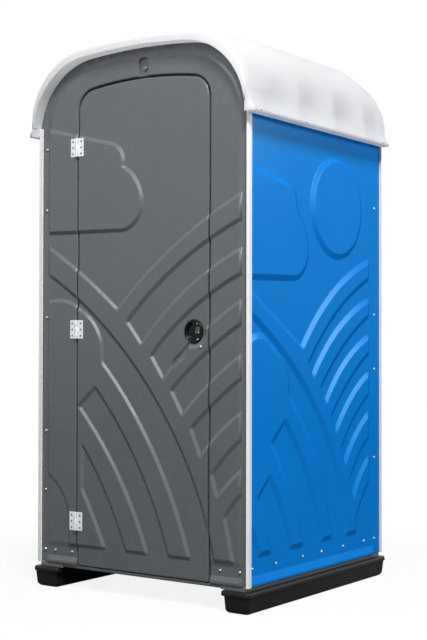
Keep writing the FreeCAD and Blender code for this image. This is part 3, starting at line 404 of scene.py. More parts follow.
def moulded_panel(loops, figures, face, thickness, edge_round, round_loops=None):
    """A moulded sheet: its figures, its rounded edge, its sides and its flat back. Seen from -y."""
    lines = [ring for figure in figures for ring in figure.rings()]
    rounded = [divided(loop) for loop in (loops if round_loops is None else round_loops)]
    loops = [divided(loop) for loop in loops]
    outer = max(loops, key=lambda l: abs(signed_area(l)))
    sides = [-1 if loop == outer else 1 for loop in rounded]
    for loop, side in zip(rounded, sides):
        lines.extend(offset(loop, side * edge_round * share) for share in EDGE_SHARES)
    spots, faces = fill(loops, lines)
    height = np.zeros(len(spots))
    slope = np.zeros((len(spots), 2))
    for figure in figures:
        h, g = figure.rise(spots)
        height += h
        slope += g
    for loop, side in zip(rounded, sides):
        drop, fall = edge_fall(spots, loop, edge_round, side)
        height -= drop
        slope += fall
    count = len(spots)
    verts = np.column_stack((spots[:, 0], face - height, spots[:, 1]))
    normal = np.column_stack((-slope[:, 0], -np.ones(count), -slope[:, 1]))
    normal /= np.linalg.norm(normal, axis=1)[:, None]
    all_faces = [tuple(int(i) for i in f) for f in faces]
    normals = [normal[i] for f in all_faces for i in f]
    rim = rim_edges(faces)
    ring, triangles = flat_back(spots, rim, loops)
    back_verts = np.array([(spots[v, 0], face + thickness, spots[v, 1]) for v in ring])
    for f in triangles:
        all_faces.append(tuple(count + int(i) for i in f))
        normals.extend([(0.0, 1.0, 0.0)] * 3)
    back_of = {v: count + k for k, v in enumerate(ring)}
    for a, b in rim:
        all_faces.append((b, a, back_of[a], back_of[b]))
        normals.extend([side_normal(spots[a], spots[b])] * 4)
    return np.vstack((verts, back_verts)), all_faces, normals


def prism(loops, y0, y1):
    """A plate of the loops' shape from y0 back to y1, with flat faces."""
    spots, faces = fill(loops)
    count = len(spots)
    verts = np.vstack([np.column_stack((spots[:, 0], np.full(count, y), spots[:, 1])) for y in (y0, y1)])
    all_faces = []
    normals = []
    for f in faces:
        all_faces.append(tuple(int(i) for i in f))
        all_faces.append(tuple(int(i) + count for i in reversed(f)))
        normals.extend([(0.0, -1.0, 0.0)] * 3)
        normals.extend([(0.0, 1.0, 0.0)] * 3)
    for a, b in rim_edges(faces):
        all_faces.append((b, a, a + count, b + count))
        normals.extend([side_normal(spots[a], spots[b])] * 4)
    return verts, all_faces, normals


def joined(*parts):
    """Several meshes as one list of corners and faces."""
    verts = []
    faces = []
    for v, f in parts:
        first = len(verts)
        verts.extend([tuple(p) for p in v])
        faces.extend([tuple(i + first for i in face) for face in f])
    return verts, faces


def add(name, verts, faces, body, slot, stands_for=(), angle=35.0, material=None):
    """Makes a mesh from corners in millimetres, shaded smooth up to an angle."""
    mesh = bpy.data.meshes.new(name)
    mesh.from_pydata([tuple(c * MM for c in v) for v in verts], [], [tuple(f) for f in faces])
    outward = bmesh.new()
    outward.from_mesh(mesh)
    bmesh.ops.recalc_face_normals(outward, faces=outward.faces)
    outward.to_mesh(mesh)
    outward.free()
    for polygon in mesh.polygons:
        polygon.use_smooth = True
    mesh.set_sharp_from_angle(angle=math.radians(angle))
    return set_up(name, mesh, body, slot, stands_for, material)


def strip(rings, ends=True):
    """Quads between rings of equally many corners, and a face over the first and last ring."""
    count = len(rings[0])
    verts = [point for ring in rings for point in ring]
    faces = []
    for k in range(len(rings) - 1):
        for i in range(count):
            a = k * count + i
            b = k * count + (i + 1) % count
            faces.append((a, b, b + count, a + count))
    if ends:
        faces.append(tuple(reversed(range(count))))
        last = (len(rings) - 1) * count
        faces.append(tuple(range(last, last + count)))
    return verts, faces


TIP_RADIUS = 0.01


def lathe(profile, centre, axis, count):
    """A profile of (radius, distance along the axis) turned round the axis, from its tip to its foot."""
    axis = Vector(axis)
    side = axis.orthogonal().normalized()
    other = axis.cross(side)
    spokes = [side * c + other * s for c, s in arc(0.0, 0.0, 1.0, 0.0, 2 * math.pi, count)]
    rings = []
    for radius, along in profile:
        middle = Vector(centre) + axis * along
        rings.append([tuple(middle + spoke * max(radius, TIP_RADIUS)) for spoke in spokes])
    return strip(rings)


def rounded_block(x, y, z, radius=1.5, steps=3):
    """A block between two corners with rounded edges."""
    maker = bmesh.new()
    bmesh.ops.create_cube(maker, size=1.0)
    for vert in maker.verts:
        vert.co = Vector([(a + b) / 2 + c * (b - a) for c, (a, b) in zip(vert.co, (x, y, z))])
    bmesh.ops.bevel(maker, geom=list(maker.edges), offset=radius, segments=steps, profile=0.5,
                    affect="EDGES")
    maker.verts.index_update()
    made = [tuple(v.co) for v in maker.verts], [tuple(v.index for v in f.verts) for f in maker.faces]
    maker.free()
    return made


def shoulder(centre_z, crown_radius, shoulder_radius, reach):
    """The height of a shoulder arc's centre, and the angle at which it meets the crown's arc."""
    shoulder_z = centre_z + math.sqrt((crown_radius - shoulder_radius) ** 2 - reach ** 2)
    return shoulder_z, math.atan2(shoulder_z - centre_z, reach)


def vault(half_span, foot, crown, crown_radius, shoulder_radius):
    """The outline of an end: upright sides, two shoulder arcs and a flat crown arc."""
    centre_z = crown - crown_radius
    reach = half_span - shoulder_radius
    shoulder_z, steep = shoulder(centre_z, crown_radius, shoulder_radius, reach)
    join_x = crown_radius * math.cos(steep)
    join_z = centre_z + crown_radius * math.sin(steep)
    mid_x = reach + shoulder_radius * math.cos(steep / 2)
    mid_z = shoulder_z + shoulder_radius * math.sin(steep / 2)
    return segments(
        (-half_span, foot), (-half_span, shoulder_z), ((-mid_x, mid_z), (-join_x, join_z)),
        ((0.0, crown), (join_x, join_z)), ((mid_x, mid_z), (half_span, shoulder_z)), (half_span, foot),
    )


def door_outline(margin, foot):
    """The outline of the door opening, moved inwards by a margin."""
    left = OPEN_LEFT + margin
    right = OPEN_RIGHT - margin
    radius = OPEN_RADIUS - margin
    corner = OPEN_CORNER - margin
    centre_z = OPEN_CREST - OPEN_RADIUS
    steps = []
    for side, edge in ((-1, -left), (1, right)):
        reach = edge - corner
        corner_z, steep = shoulder(centre_z, radius, corner, reach)
        join = (side * radius * math.cos(steep), centre_z + radius * math.sin(steep))
        bend = (side * (reach + corner * math.cos(steep / 2)), corner_z + corner * math.sin(steep / 2))
        steps.append(((side * edge, corner_z), bend, join))
    first, last = steps
    return segments(
        (left, foot), first[0], (first[1], first[2]), ((0.0, centre_z + radius), last[2]),
        (last[1], last[0]), (right, foot),
    )


def front_figures():
    """The moulded figures of the front."""
    left = FIELD_LEFT
    right = FIELD_RIGHT
    cloud = segments(
        (left, 1973), (-150, 1887), ((-99, 1858), (-79, 1808)), (-82, 1786),
        ((-9, 1718), (19, 1639)), ((-6, 1561), (-90, 1519)), (left, 1525),
    )
    waves = segments(
        (left, 1464), ((-296, 1335), (-110, 1190)), ((180, 1440), (right, 1633)), (right, 1534),
        ((199, 1363), (-58, 1140)), (18, 1046), ((226, 1250), (right, 1418)), (right, 1320),
        ((277, 1189), (68, 1000)), (132, 906), ((320, 1088), (right, 1214)), (right, 1125),
        ((341, 1011), (171, 861)), (229, 763), ((362, 893), (right, 1002)), (right, 911),
        ((391, 820), (270, 709)), (317, 601), ((409, 698), (right, 777)), (right, 674),
        ((440, 610), (373, 532)), (398, 443), ((452, 503), (right, 552)), (right, 460),
        ((473, 422), (434, 371)), (474, 197), (386, 197), ((333, 380), (193, 671)),
        ((-63, 1007), (left, 1347)),
    )
    bands = segments(
        (left, 1225), ((-401, 1230), (-312, 1189)), ((-233, 1126), (-196, 1049)), (-190, 967),
        ((66, 632), (263, 191)), (160, 191), ((-14, 577), (-228, 864)), (-321, 784),
        ((-104, 504), (50, 191)), (-61, 191), ((-166, 417), (-300, 620)), (-300, 431),
        ((-237, 317), (-175, 191)), (-373, 191), (-379, 349), ((-407, 406), (-458, 465)),
        (left, 488),
    )
    return [Figure(sampled(f), FRONT_RELIEF, FRONT_DRAFT) for f in (cloud, waves, bands)]


CLOUD_CORNER = (-184, 1586)
CLOUD_EASE = 62.0
SIDE_DISC = (150, 1633, 209)


def side_figures():
    """The moulded figures of a side wall, seen from outside with the front edge at -x."""
    left = SIDE_FRONT - SIDE_DRAFT
    right = SIDE_FIGURES_END
    cloud = segments(
        (left, 1749), (-232, 1690), ((-195, 1660), CLOUD_CORNER), ((-123, 1533), (-98, 1460)),
        ((-118, 1365), (-200, 1317)), (left, 1308),
    )
    waves = segments(
        (left, 1269), (-142, 1033), ((157, 1296), (right, 1417)), (right, 1339),
        ((159, 1197), (-91, 969)), (-57, 913), ((207, 1146), (right, 1244)), (right, 1174),
        ((223, 1056), (6, 863)), (47, 799), ((264, 1001), (right, 1081)), (right, 1008),
        ((237, 878), (98, 743)), (134, 671), ((272, 818), (right, 917)), (right, 825),
        ((309, 739), (182, 600)), (211, 532), ((325, 663), (right, 737)), (right, 634),
        ((328, 551), (255, 457)), (285, 374), ((353, 473), (right, 540)), (right, 433),
        ((370, 372), (307, 274)), (312, 222), (223, 222), ((148, 499), (2, 737)),
        ((-215, 956), (left, 1174)),
    )
    bands = segments(
        (left, 1046), ((-465, 1080), (-379, 1039)), ((-283, 961), (-245, 904)), (-245, 834),
        ((-29, 558), (104, 224)), (19, 224), ((-105, 513), (-275, 738)), (-380, 649),
        ((-240, 452), (-132, 223)), (-227, 223), ((-294, 378), (-391, 522)), (-480, 440),
        ((-420, 330), (-374, 223)), (-464, 223), ((-498, 291), (left, 355)),
    )
    loops = [sampled(f) for f in (cloud, waves, bands)]
    loops[0] = eased_corner(loops[0], CLOUD_CORNER, CLOUD_EASE)
    loops.append(circle(*SIDE_DISC))
    return [Figure(loop, SIDE_RELIEF, SIDE_DRAFT) for loop in loops]


# Materials
def new_material(name):
    material = bpy.data.materials.new(name)
    material.use_nodes = True
    tree = material.node_tree
    return material, tree, tree.nodes["Principled BSDF"]


def adjust(node, **values):
    """Sets a node's inputs, named with an underscore for each space."""
    for name, value in values.items():
        node.inputs[name.replace("_", " ")].default_value = value


def noise(tree, scale, detail):
    coordinates = tree.nodes.new("ShaderNodeTexCoord")
    texture = tree.nodes.new("ShaderNodeTexNoise")
    adjust(texture, Scale=scale, Detail=detail, Roughness=0.5)
    tree.links.new(coordinates.outputs["Object"], texture.inputs["Vector"])
    return texture.outputs["Fac"]


def spread(tree, source, low, high, start=0.3, end=0.7):
    """A value between start and end, as a noise gives it, moved to the range from low to high."""
    remap = tree.nodes.new("ShaderNodeMapRange")
    adjust(remap, From_Min=start, From_Max=end, To_Min=low, To_Max=high)
    tree.links.new(source, remap.inputs["Value"])
    return remap.outputs["Result"]


def bump(tree, scale, depth, under=None):
    """Small unevenness of the surface, on top of another one's normal if that is given."""
    node = tree.nodes.new("ShaderNodeBump")
    adjust(node, Distance=depth, Strength=1.0)
    tree.links.new(noise(tree, scale, 2.0), node.inputs["Height"])
    if under is not None:
        tree.links.new(under, node.inputs["Normal"])
    return node.outputs["Normal"]


def plastic(name, colour, roughness, grain=900.0, grain_depth=0.00001, wave_depth=0.0002, tint=0.03,
            sheen=0.5):
    """Moulded plastic: slight colour drift, fine grain and a slow waviness of the sheet."""
    material, tree, shader = new_material(name)
    drift = spread(tree, noise(tree, 3.2, 4.0), 1.0 - tint, 1.0 + tint)
    mix = tree.nodes.new("ShaderNodeMix")
    mix.data_type = "RGBA"
    mix.blend_type = "MULTIPLY"
    adjust(mix, Factor=1.0, A=(*colour, 1.0))
    tree.links.new(drift, mix.inputs["B"])
    tree.links.new(mix.outputs["Result"], shader.inputs["Base Color"])
    tree.links.new(spread(tree, noise(tree, 14.0, 5.0), roughness - 0.05, roughness + 0.07),
                   shader.inputs["Roughness"])
    wave = bump(tree, 5.0, wave_depth)
    tree.links.new(bump(tree, grain, grain_depth, wave), shader.inputs["Normal"])
    adjust(shader, Specular_IOR_Level=sheen)
    return material


METAL_GRAIN = 400.0


def metal(name, colour, roughness):
    """Metal with a fine grain in its roughness and surface."""
    material, tree, shader = new_material(name)
    adjust(shader, Metallic=1.0, Base_Color=(*colour, 1.0))
    tree.links.new(spread(tree, noise(tree, METAL_GRAIN, 3.0), roughness - 0.08, roughness + 0.08),
                   shader.inputs["Roughness"])
    tree.links.new(bump(tree, METAL_GRAIN, 0.00004), shader.inputs["Normal"])
    return material


def plain(name, **values):
    material, _, shader = new_material(name)
    adjust(shader, **values)
    return material


PLASTICS = (
    ("front_grey", (0.106, 0.116, 0.124), 0.26, {"sheen": 0.52}),
    ("wall_blue", (0.0, 0.205, 0.67), 0.3, {"sheen": 0.0}),
    ("roof_white", (0.76, 0.765, 0.775), 0.45, {"wave_depth": 0.0004, "tint": 0.01, "sheen": 0.3}),
    ("skid_black", (0.009, 0.009, 0.01), 0.4, {"grain": 500.0, "grain_depth": 0.00008, "sheen": 0.2}),
    ("floor_grey", (0.12, 0.13, 0.135), 0.5, {"grain": 400.0, "grain_depth": 0.0001}),
    ("tank_black", (0.03, 0.03, 0.032), 0.45, {}),
    ("seat_white", (0.78, 0.78, 0.77), 0.3, {"wave_depth": 0.0}),
    ("pipe_grey", (0.45, 0.45, 0.46), 0.4, {"wave_depth": 0.0}),
    ("lock_black", (0.004, 0.004, 0.005), 0.25, {"wave_depth": 0.0, "sheen": 0.2}),
)
slot_material = {slot: plastic(slot + "_plastic", colour, roughness, **more)
                 for slot, colour, roughness, more in PLASTICS}
slot_material["rivet_grey"] = metal("rivet_metal", (0.42, 0.45, 0.48), 0.32)
slot_material["steel"] = metal("steel_metal", (0.55, 0.55, 0.56), 0.35)
slot_material["window_clear"] = plain("window_pane", Base_Color=(0.9, 0.97, 0.94, 1.0), Roughness=0.05,
                                      Transmission_Weight=1.0, IOR=1.46)
slot_material["indicator"] = plain("indicator_print", Base_Color=(0.03, 0.55, 0.3, 1.0), Roughness=0.3)
post_white = plastic("post_white_plastic", (0.83, 0.835, 0.845), 0.4, tint=0.02, sheen=0.3)
hinge_white = plastic("hinge_white_enamel", (0.82, 0.83, 0.84), 0.35, wave_depth=0.0)
# A darker metal that paints shade onto the hinge rivet heads and onto the anchor bolt in its pocket
shade_dark_metal = metal("hinge_rivet_metal", (0.2, 0.2, 0.21), 0.4)
disc_white = plastic("disc_white_field", (0.7, 0.72, 0.7), 0.35, wave_depth=0.0)
disc_red = plastic("disc_red_print", (0.5, 0.02, 0.02), 0.35, wave_depth=0.0)


def combined(tree, operation, first, second):
    """Two values joined by a math node."""
    node = tree.nodes.new("ShaderNodeMath")
    node.operation = operation
    tree.links.new(first, node.inputs[0])
    tree.links.new(second, node.inputs[1])
    return node.outputs["Value"]


def mix_surface(tree, share, first, second):
    """Makes the surface a mix of two shaders, and returns the node that mixes them."""
    mixed = tree.nodes.new("ShaderNodeMixShader")
    adjust(mixed, Fac=share)
    tree.links.new(first, mixed.inputs[1])
    tree.links.new(second, mixed.inputs[2])
    tree.links.new(mixed.outputs["Shader"], tree.nodes["Material Output"].inputs["Surface"])
    return mixed


def overlaid(material, kind, colour, share):
    """Mixes a share of another kind of shader into a plastic, and returns that shader."""
    tree = material.node_tree
    second = tree.nodes.new(kind)
    adjust(second, Color=(*colour, 1.0))
    mix_surface(tree, share, tree.nodes["Principled BSDF"].outputs["BSDF"], second.outputs["BSDF"])
    return second


# The matt blue gets a weak gloss, as strong at every angle
blue_gloss = overlaid(slot_material["wall_blue"], "ShaderNodeBsdfAnisotropic", (0.5, 0.9, 1.0), 0.024)
adjust(blue_gloss, Roughness=0.26)
blue_tree = slot_material["wall_blue"].node_tree
blue_normal = blue_tree.nodes["Principled BSDF"].inputs["Normal"].links[0].from_socket
blue_tree.links.new(blue_normal, blue_gloss.inputs["Normal"])

# The white roof glows a little on the side away from the lamp
overlaid(slot_material["roof_white"], "ShaderNodeBsdfTranslucent", (0.95, 0.96, 0.97), 0.4)

for part in frame["record"]["subparts"]:
    name = part["node"]
    if nodes.get(name) is None:
        continue
    material = slot_material[part["material_slot"]]
    if name.startswith("hinge_") and "rivets" not in name:
        material = slot_material["steel"] if name.endswith("_pin") else hinge_white
    if name.startswith("corner_post"):
        material = post_white
    materials = nodes[name].data.materials
    materials.clear()
    materials.append(material)

# Pieces kept from the solids get rounded edges, by their width in millimetres
HINGE_LEAVES = [f"hinge_{spot}_{leaf}_leaf" for spot in ("top", "middle", "bottom")
                for leaf in ("frame", "door")]
SOFT_EDGES = {
    0.5: HINGE_LEAVES + ["keeper_plate"],
    1.2: ["latch_bolt", "thumb_turn", "paper_holder", "coat_hook", "vent_pipe_clip", "vent_pipe"],
    3.0: ["seat_lid", "seat_ring", "door_pull", "lock_case"],
    4.0: ["seat_deck", "floor_pan"],
}
for width, names in SOFT_EDGES.items():
    for name in names:
        weld = nodes[name].modifiers.new("weld", "WELD")
        weld.merge_threshold = 0.00001
        bevel = nodes[name].modifiers.new("edges", "BEVEL")
        bevel.width = width * MM
        bevel.segments = 3
        bevel.limit_method = "ANGLE"
        bevel.angle_limit = math.radians(50)
        bevel.harden_normals = True

# The front: door leaf and fixed frame share their figures
LEAF_MARGIN = 6.2
LEAF_ROUND = 5.5
LOCK_HOLE = 46.6
LOCK_DISH = 48.6
LOCK_CLEAR = 62.0
FINE_STEP = 6.0
cloud, waves, bands = front_figures()
leaf_loop = sampled(door_outline(LEAF_MARGIN, BASE + 3.0))
grip = sampled(segments((254, 1048), ((246, 1003), (212, 975)), ((192, 962), (170, 954)),
                        ((177, 976), (192, 992)), ((222, 1016), (254, 1048))), FINE_STEP)
leaf_figures = [cloud, Cleared(waves, circle(*LOCK, LOCK_CLEAR)), bands,
                Figure(grip, -7.0, 11.0, 2.0), Figure(circle(*LOCK, LOCK_DISH), -1.8, 3.0, 1.0)]
leaf_loops = [leaf_loop, circle(*LOCK, LOCK_HOLE)]
leaf_parts = moulded_panel(leaf_loops, leaf_figures, FACE, DOOR_THICK, LEAF_ROUND, [leaf_loop])
place("door_leaf_skin", *leaf_parts, "door", "front_grey", ("door_panel",))

ARCH_GAP = 0.3
SPRING_INSET = 2.9


def end_outline(half_span):
    """The cabin's end: straight between the posts, and an arch that fills the roof."""
    arch = sampled(vault(ARCH_HALF, EAVE, ARCH_CROWN - ARCH_GAP, ARCH_RADIUS, ARCH_SHOULDER))
    arch = [(x, z) for x, z in arch if z > WALL_TOP]
    spring = ARCH_HALF - SPRING_INSET
    right = [(half_span, BASE), (half_span, WALL_TOP), (spring, WALL_TOP)]
    right += sorted((p for p in arch if p[0] > 0), key=lambda p: p[1])
    left = sorted((p for p in arch if p[0] <= 0), key=lambda p: -p[1])
    left += [(-spring, WALL_TOP), (-half_span, WALL_TOP), (-half_span, BASE)]
    return right + left


FLANGE_STEP = 4.0
FIELD_FOOT = 187.0
FIELD_MARGIN = 48.0
JAMB_MARGIN = 1.2
FRAME_ROUND = 6.0
jamb_cut = [(x, z) for x, z in sampled(door_outline(-JAMB_MARGIN, BASE - 30.0)) if z > BASE]
frame_loop = end_outline(FRONT_HALF) + [(OPEN_LEFT - JAMB_MARGIN, BASE)] + jamb_cut
frame_loop.append((OPEN_RIGHT + JAMB_MARGIN, BASE))
field_arch = sampled(vault(ARCH_HALF - FIELD_MARGIN, FIELD_FOOT, ARCH_CROWN - FIELD_MARGIN,
                           ARCH_RADIUS - FIELD_MARGIN, ARCH_SHOULDER - FIELD_MARGIN))
field = [(min(max(x, FIELD_LEFT), FIELD_RIGHT), z) for x, z in field_arch]
field = [p for k, p in enumerate(field) if math.dist(p, field[k - 1]) > 0.5]
pocket = sampled(segments((-3, 2100), (-3, 2215), ((20, 2227), (43, 2215)), (43, 2100)), FINE_STEP)
frame_figures = [cloud, waves, bands]
frame_figures += [Figure(field, FLANGE_STEP, 18.0, 6.0), Figure(pocket, -11.0, 4.0, 1.4)]
for x0, x1 in ((-500.0, OPEN_LEFT + 200), (OPEN_RIGHT - 200, 512.0)):
    frame_figures.append(Figure(rectangle(x0, x1, BASE - 200, 127.0), 7.0, 20.0, 1.5))
front_parts = moulded_panel([frame_loop], frame_figures, FACE + FLANGE_STEP, THICK - FLANGE_STEP,
                            FRAME_ROUND)
place("front_skin", *front_parts, "root", "front_grey", ("front_frame",))

# The door stop: a wall behind the opening's edge, and a lip behind the leaf, both open at the foot
STOP_OUT = 17.0
STOP_IN = 14.0
stop_outer = sampled(door_outline(-STOP_OUT, BASE))
wall_band = stop_outer + sampled(door_outline(0.0, BASE))[::-1]
lip_band = stop_outer + sampled(door_outline(STOP_IN, BASE))[::-1]
place("door_stop_wall", *prism([wall_band], FACE + THICK, STOP_FRONT), "root", "front_grey")
place("door_stop_lip", *prism([lip_band], STOP_FRONT, STOP_BACK), "root", "front_grey")
add("door_sill", *rounded_block((-412, 412), (FACE + 5, FACE + THICK), (BASE - 11, BASE)), "root",
    "front_grey")

# Side and rear walls
foot = Figure(rectangle(-900.0, 478.0, BASE - 300, 129.0), 8.0, 30.0, 2.0)
side_loop = rectangle(SIDE_FRONT, SIDE_REAR, BASE, WALL_TOP)
WALLS = (("right", side_loop, 90.0, False), ("left", side_loop, 90.0, True),
         ("rear", end_outline(REAR_HALF), 180.0, False))
for wall, loop, turn, mirror in WALLS:
    wall_parts = moulded_panel([loop], side_figures() + [foot], FACE, THICK, EDGE_ROUND)
    place(wall + "_wall_skin", *wall_parts, "root", "wall_blue", (wall + "_wall",), turn, mirror)

# The roof: one skin from the crown to the lip, its outside and its inside
ROOF_FRONT = -587.0
ROOF_REAR = 562.0
NOSE = 47.0
TAIL = 20.0
NOSE_END = ROOF_FRONT + NOSE
TAIL_START = ROOF_REAR - TAIL
FRONT_SWELL = 390.0
REAR_SWELL = 145.0
NOSE_INSET, TAIL_INSET = 6.0, 5.0
NOSE_DROP, TAIL_DROP = 19.0, 16.0
CROWN_OUTSIDE, CROWN_INSIDE = 41.0, 31.0
SWELL_OUTSIDE, SWELL_INSIDE = 31.8, 32.0
SHOULDER_OUTSIDE, SHOULDER_INSIDE = 306.0, 276.0
ROOF_HALF = 566.0
ROOF_INSIDE_HALF = 536.0
ROOF_RADIUS = 2860.0
ROOF_FLATTER = 460.0
LIP_HALF = 590.0
LIP_REAR = 545.0
LIP_CORNER = 5.0
LIP_TOP = 1956.5
FLARE_TOP = 2044.0
FLARE_SHARES = (0.12, 0.25, 0.38, 0.5, 0.63, 0.76, 0.88, 1.0)
FLUTE_RADIUS = 378.0
FLUTE_DATUM = 558.0
FLUTES = ((-324.0, 84.0), (-62.0, 102.0), (219.0, 102.0), (463.0, 69.0))
FLUTES_FROM = 300.0
BETWEEN_FLUTES = 700.0
SEAT_GAP = 0.4
SEAT_REAR = 519.6
SEAT_POST = 549.7
CROWN_STEPS = 25
SHOULDER_STEPS = 48
FOOT_STEPS = 4
INNER_STEPS = 12


def eased(share):
    """A smooth step from nothing to one."""
    share = min(max(share, 0.0), 1.0)
    return (1 - math.cos(math.pi * share)) / 2


def soft_min(a, b, width):
    """The smaller of two values, with the change from one to the other rounded off."""
    return min(a, b) - max(width - abs(a - b), 0.0) ** 2 / (4 * width)


def flute_limit(y):
    """How far out the fluted side reaches at y."""
    reach = BETWEEN_FLUTES
    for middle, half in FLUTES:
        away = abs(y - middle)
        if away < FLUTE_RADIUS * 0.9:
            deepest = FLUTE_DATUM - half ** 2 / (2 * FLUTE_RADIUS)
            reach = soft_min(reach, deepest + FLUTE_RADIUS - math.sqrt(FLUTE_RADIUS ** 2 - away ** 2), 8.0)
    least = 540.0 + 19.5 * eased((abs(y) - 470.0) / 45.0)
    return max(reach, least)


def half_vault(half_span, crown, crown_radius, shoulder_radius, foot):
    """The right half of a vault, from the crown to the foot, always with as many points."""
    centre_z = crown - crown_radius
    reach = half_span - shoulder_radius
    shoulder_z, steep = shoulder(centre_z, crown_radius, shoulder_radius, reach)
    least = math.asin(min(max((foot - shoulder_z) / shoulder_radius, 0.0), 1.0))
    points = arc(0.0, centre_z, crown_radius, math.pi / 2, steep - math.pi / 2, CROWN_STEPS)
    points += arc(reach, shoulder_z, shoulder_radius, steep, least - steep, SHOULDER_STEPS, 1)
    last_x, last_z = points[-1]
    for k in range(1, FOOT_STEPS + 1):
        points.append((last_x, last_z + min(foot - last_z, -0.01) * k / FOOT_STEPS))
    return points


def swell(y):
    """How far the crown has risen at y, from nothing at the ends to one between them."""
    return min(eased((y - NOSE_END) / FRONT_SWELL), eased((TAIL_START - y) / REAR_SWELL))


def roof_outside(y):
    """The right half of the roof's outside at y, from the crown to the lip's underside."""
    past = (max(NOSE_END - y, 0.0) / NOSE, max(y - TAIL_START, 0.0) / TAIL)
    fall_front, fall_rear = (1 - math.sqrt(max(1 - share ** 2, 0.0)) for share in past)
    inset = NOSE_INSET * fall_front + TAIL_INSET * fall_rear
    drop = NOSE_DROP * fall_front + TAIL_DROP * fall_rear
    crown = ARCH_CROWN + CROWN_OUTSIDE + SWELL_OUTSIDE * swell(y) - drop
    radius = ROOF_RADIUS - ROOF_FLATTER * swell(y)
    section = half_vault(ROOF_HALF - inset, crown, radius, SHOULDER_OUTSIDE - inset, FLARE_TOP)
    limit = flute_limit(y)
    line = [(soft_min(x, limit, 18.0) if x > FLUTES_FROM else x, z) for x, z in section]
    wall = line[-1][0]
    out = eased((y - ROOF_FRONT - 3.0) / 20.0)
    if y > LIP_REAR:
        out = 0.0
    elif y > LIP_REAR - LIP_CORNER:
        out = 0.8 + 0.2 * math.sqrt(1 - ((y - LIP_REAR + LIP_CORNER) / LIP_CORNER) ** 2)
    lip = wall + (LIP_HALF - wall) * out
    for share in FLARE_SHARES:
        line.append((wall + (lip - wall) * share ** 2, FLARE_TOP - (FLARE_TOP - LIP_TOP) * share))
    line += [(lip, 1956.0), (lip, 1949.5), (lip - 0.8, 1947.8), (lip - 2.5, EAVE)]
    return line


def roof_inside(y):
    """The right half of the roof's inside at y, which seats on the ends' arches and the posts."""
    if y < STOP_BACK + SEAT_GAP or y > SEAT_REAR:
        line = half_vault(ARCH_HALF + SEAT_GAP, ARCH_CROWN, ARCH_RADIUS, ARCH_SHOULDER, WALL_TOP)
    else:
        crown = ARCH_CROWN + CROWN_INSIDE + SWELL_INSIDE * swell(y)
        radius = ROOF_RADIUS - ROOF_FLATTER * swell(y)
        line = half_vault(ROOF_INSIDE_HALF, crown, radius, SHOULDER_INSIDE, WALL_TOP)
    side = SEAT_GAP + (ARCH_HALF if abs(y) > SEAT_POST else HALF)
    for k in range(INNER_STEPS):
        line.append((side, WALL_TOP - (WALL_TOP - EAVE) * k / (INNER_STEPS - 1)))
    return line


def roof_rows():
    """Where along y the roof's sections lie: close together at the nose, the seats and the lip's end."""
    rows = [ROOF_FRONT + NOSE * (1 - math.cos(math.pi / 2 * k / 8)) for k in range(9)]
    rows += [-583.0, -580.0, -576.0, -572.0, -568.0, -564.0, -560.0, -555.0]
    rows += [-549.75, -549.65, STOP_BACK + 0.35, STOP_BACK + 0.45]
    rows += [-530.0 + 8.0 * k for k in range(132)]
    rows += [LIP_REAR - back for back in (14.0, LIP_CORNER, 2.5, 1.0, 0.05, -0.05)]
    rows += [519.55, 519.65, 549.65, 549.75, 553.0, 556.0, 558.5, 560.5, 561.6, ROOF_REAR]
    return sorted(set(rows))


def roof_shell():
    """The skin between outside and inside, closed by a strip at each end."""
    rings = []
    for y in roof_rows():
        outside = [(x, y, z) for x, z in roof_outside(y)]
        inside = [(x, y, z) for x, z in roof_inside(y)]
        over = [(-x, y, z) for x, y, z in outside[:0:-1]] + outside
        under = inside[::-1] + [(-x, y, z) for x, y, z in inside[1:]]
        rings.append(over + under)
    verts, faces = strip(rings, ends=False)
    for first in (0, (len(rings) - 1) * len(rings[0])):
        for k in range(len(over) - 1):
            low = 2 * len(over) - 2 - k
            faces.append(tuple(first + i for i in (k, low + 1, low, k + 1)))
    return verts, faces


add("roof_shell", *roof_shell(), "root", "roof_white", ("roof",), 32.0)


def rounded_rectangle(x0, x1, half_long, radius, z, steps=6):
    """A level ring of points with its corners rounded."""
    ring = []
    corners = ((x1, half_long, 0.0), (x0, half_long, 90.0), (x0, -half_long, 180.0),
               (x1, -half_long, 270.0))
    for x, y, turn in corners:
        cx = x - radius if x == x1 else x + radius
        cy = y - radius if y > 0 else y + radius
        for k in range(steps + 1):
            angle = math.radians(turn + 90.0 * k / steps)
            ring.append((cx + radius * math.cos(angle), cy + radius * math.sin(angle), z))
    return ring


# Rings of the skids from the ground up, as height and how far they stay inside
SKID_FOOT = ((0.0, 18.0), (1.2, 15.0), (4.0, 11.5), (8.0, 7.8), (12.0, 5.4), (18.0, 4.4), (66.4, 0.0))
SKID_TOP = ((66.6, 2.5), (67.4, 1.0), (69.0, 0.2), (71.0, 0.0), (79.5, 0.6), (82.5, 1.6), (85.0, 3.6),
            (86.4, 6.4), (87.0, 10.0))
skid_rings = [rounded_rectangle(437.0 + shrink * 0.6, 556.0 - shrink, 556.0 - shrink, 10.0, z)
              for z, shrink in SKID_FOOT]
skid_rings += [rounded_rectangle(424.0 + inset, 562.0 - inset, 562.0 - inset, 16.0 - inset, z)
               for z, inset in SKID_TOP]
skid_verts, skid_faces = strip(skid_rings)
for hand, side in (("right", 1), ("left", -1)):
    verts = [(side * x, y, z) for x, y, z in skid_verts]
    add("skid_body_" + hand, verts, skid_faces, "root", "skid_black", ("skid_" + hand,), 40.0)


def dome(radius, height, hole=0.3):
    """A blind rivet's low dome, with the hole that its mandrel leaves."""
    profile = [(0.0, height * 0.62), (radius * hole * 0.8, height * 0.62), (radius * hole, height * 0.99)]
    for k in range(1, 7):
        angle = math.pi / 2 * k / 6
        profile.append((radius * (hole + (0.96 - hole) * math.sin(angle)),
                        height * (0.25 + 0.75 * math.cos(angle))))
    profile += [(radius, height * 0.12), (radius, -0.2)]
    return profile


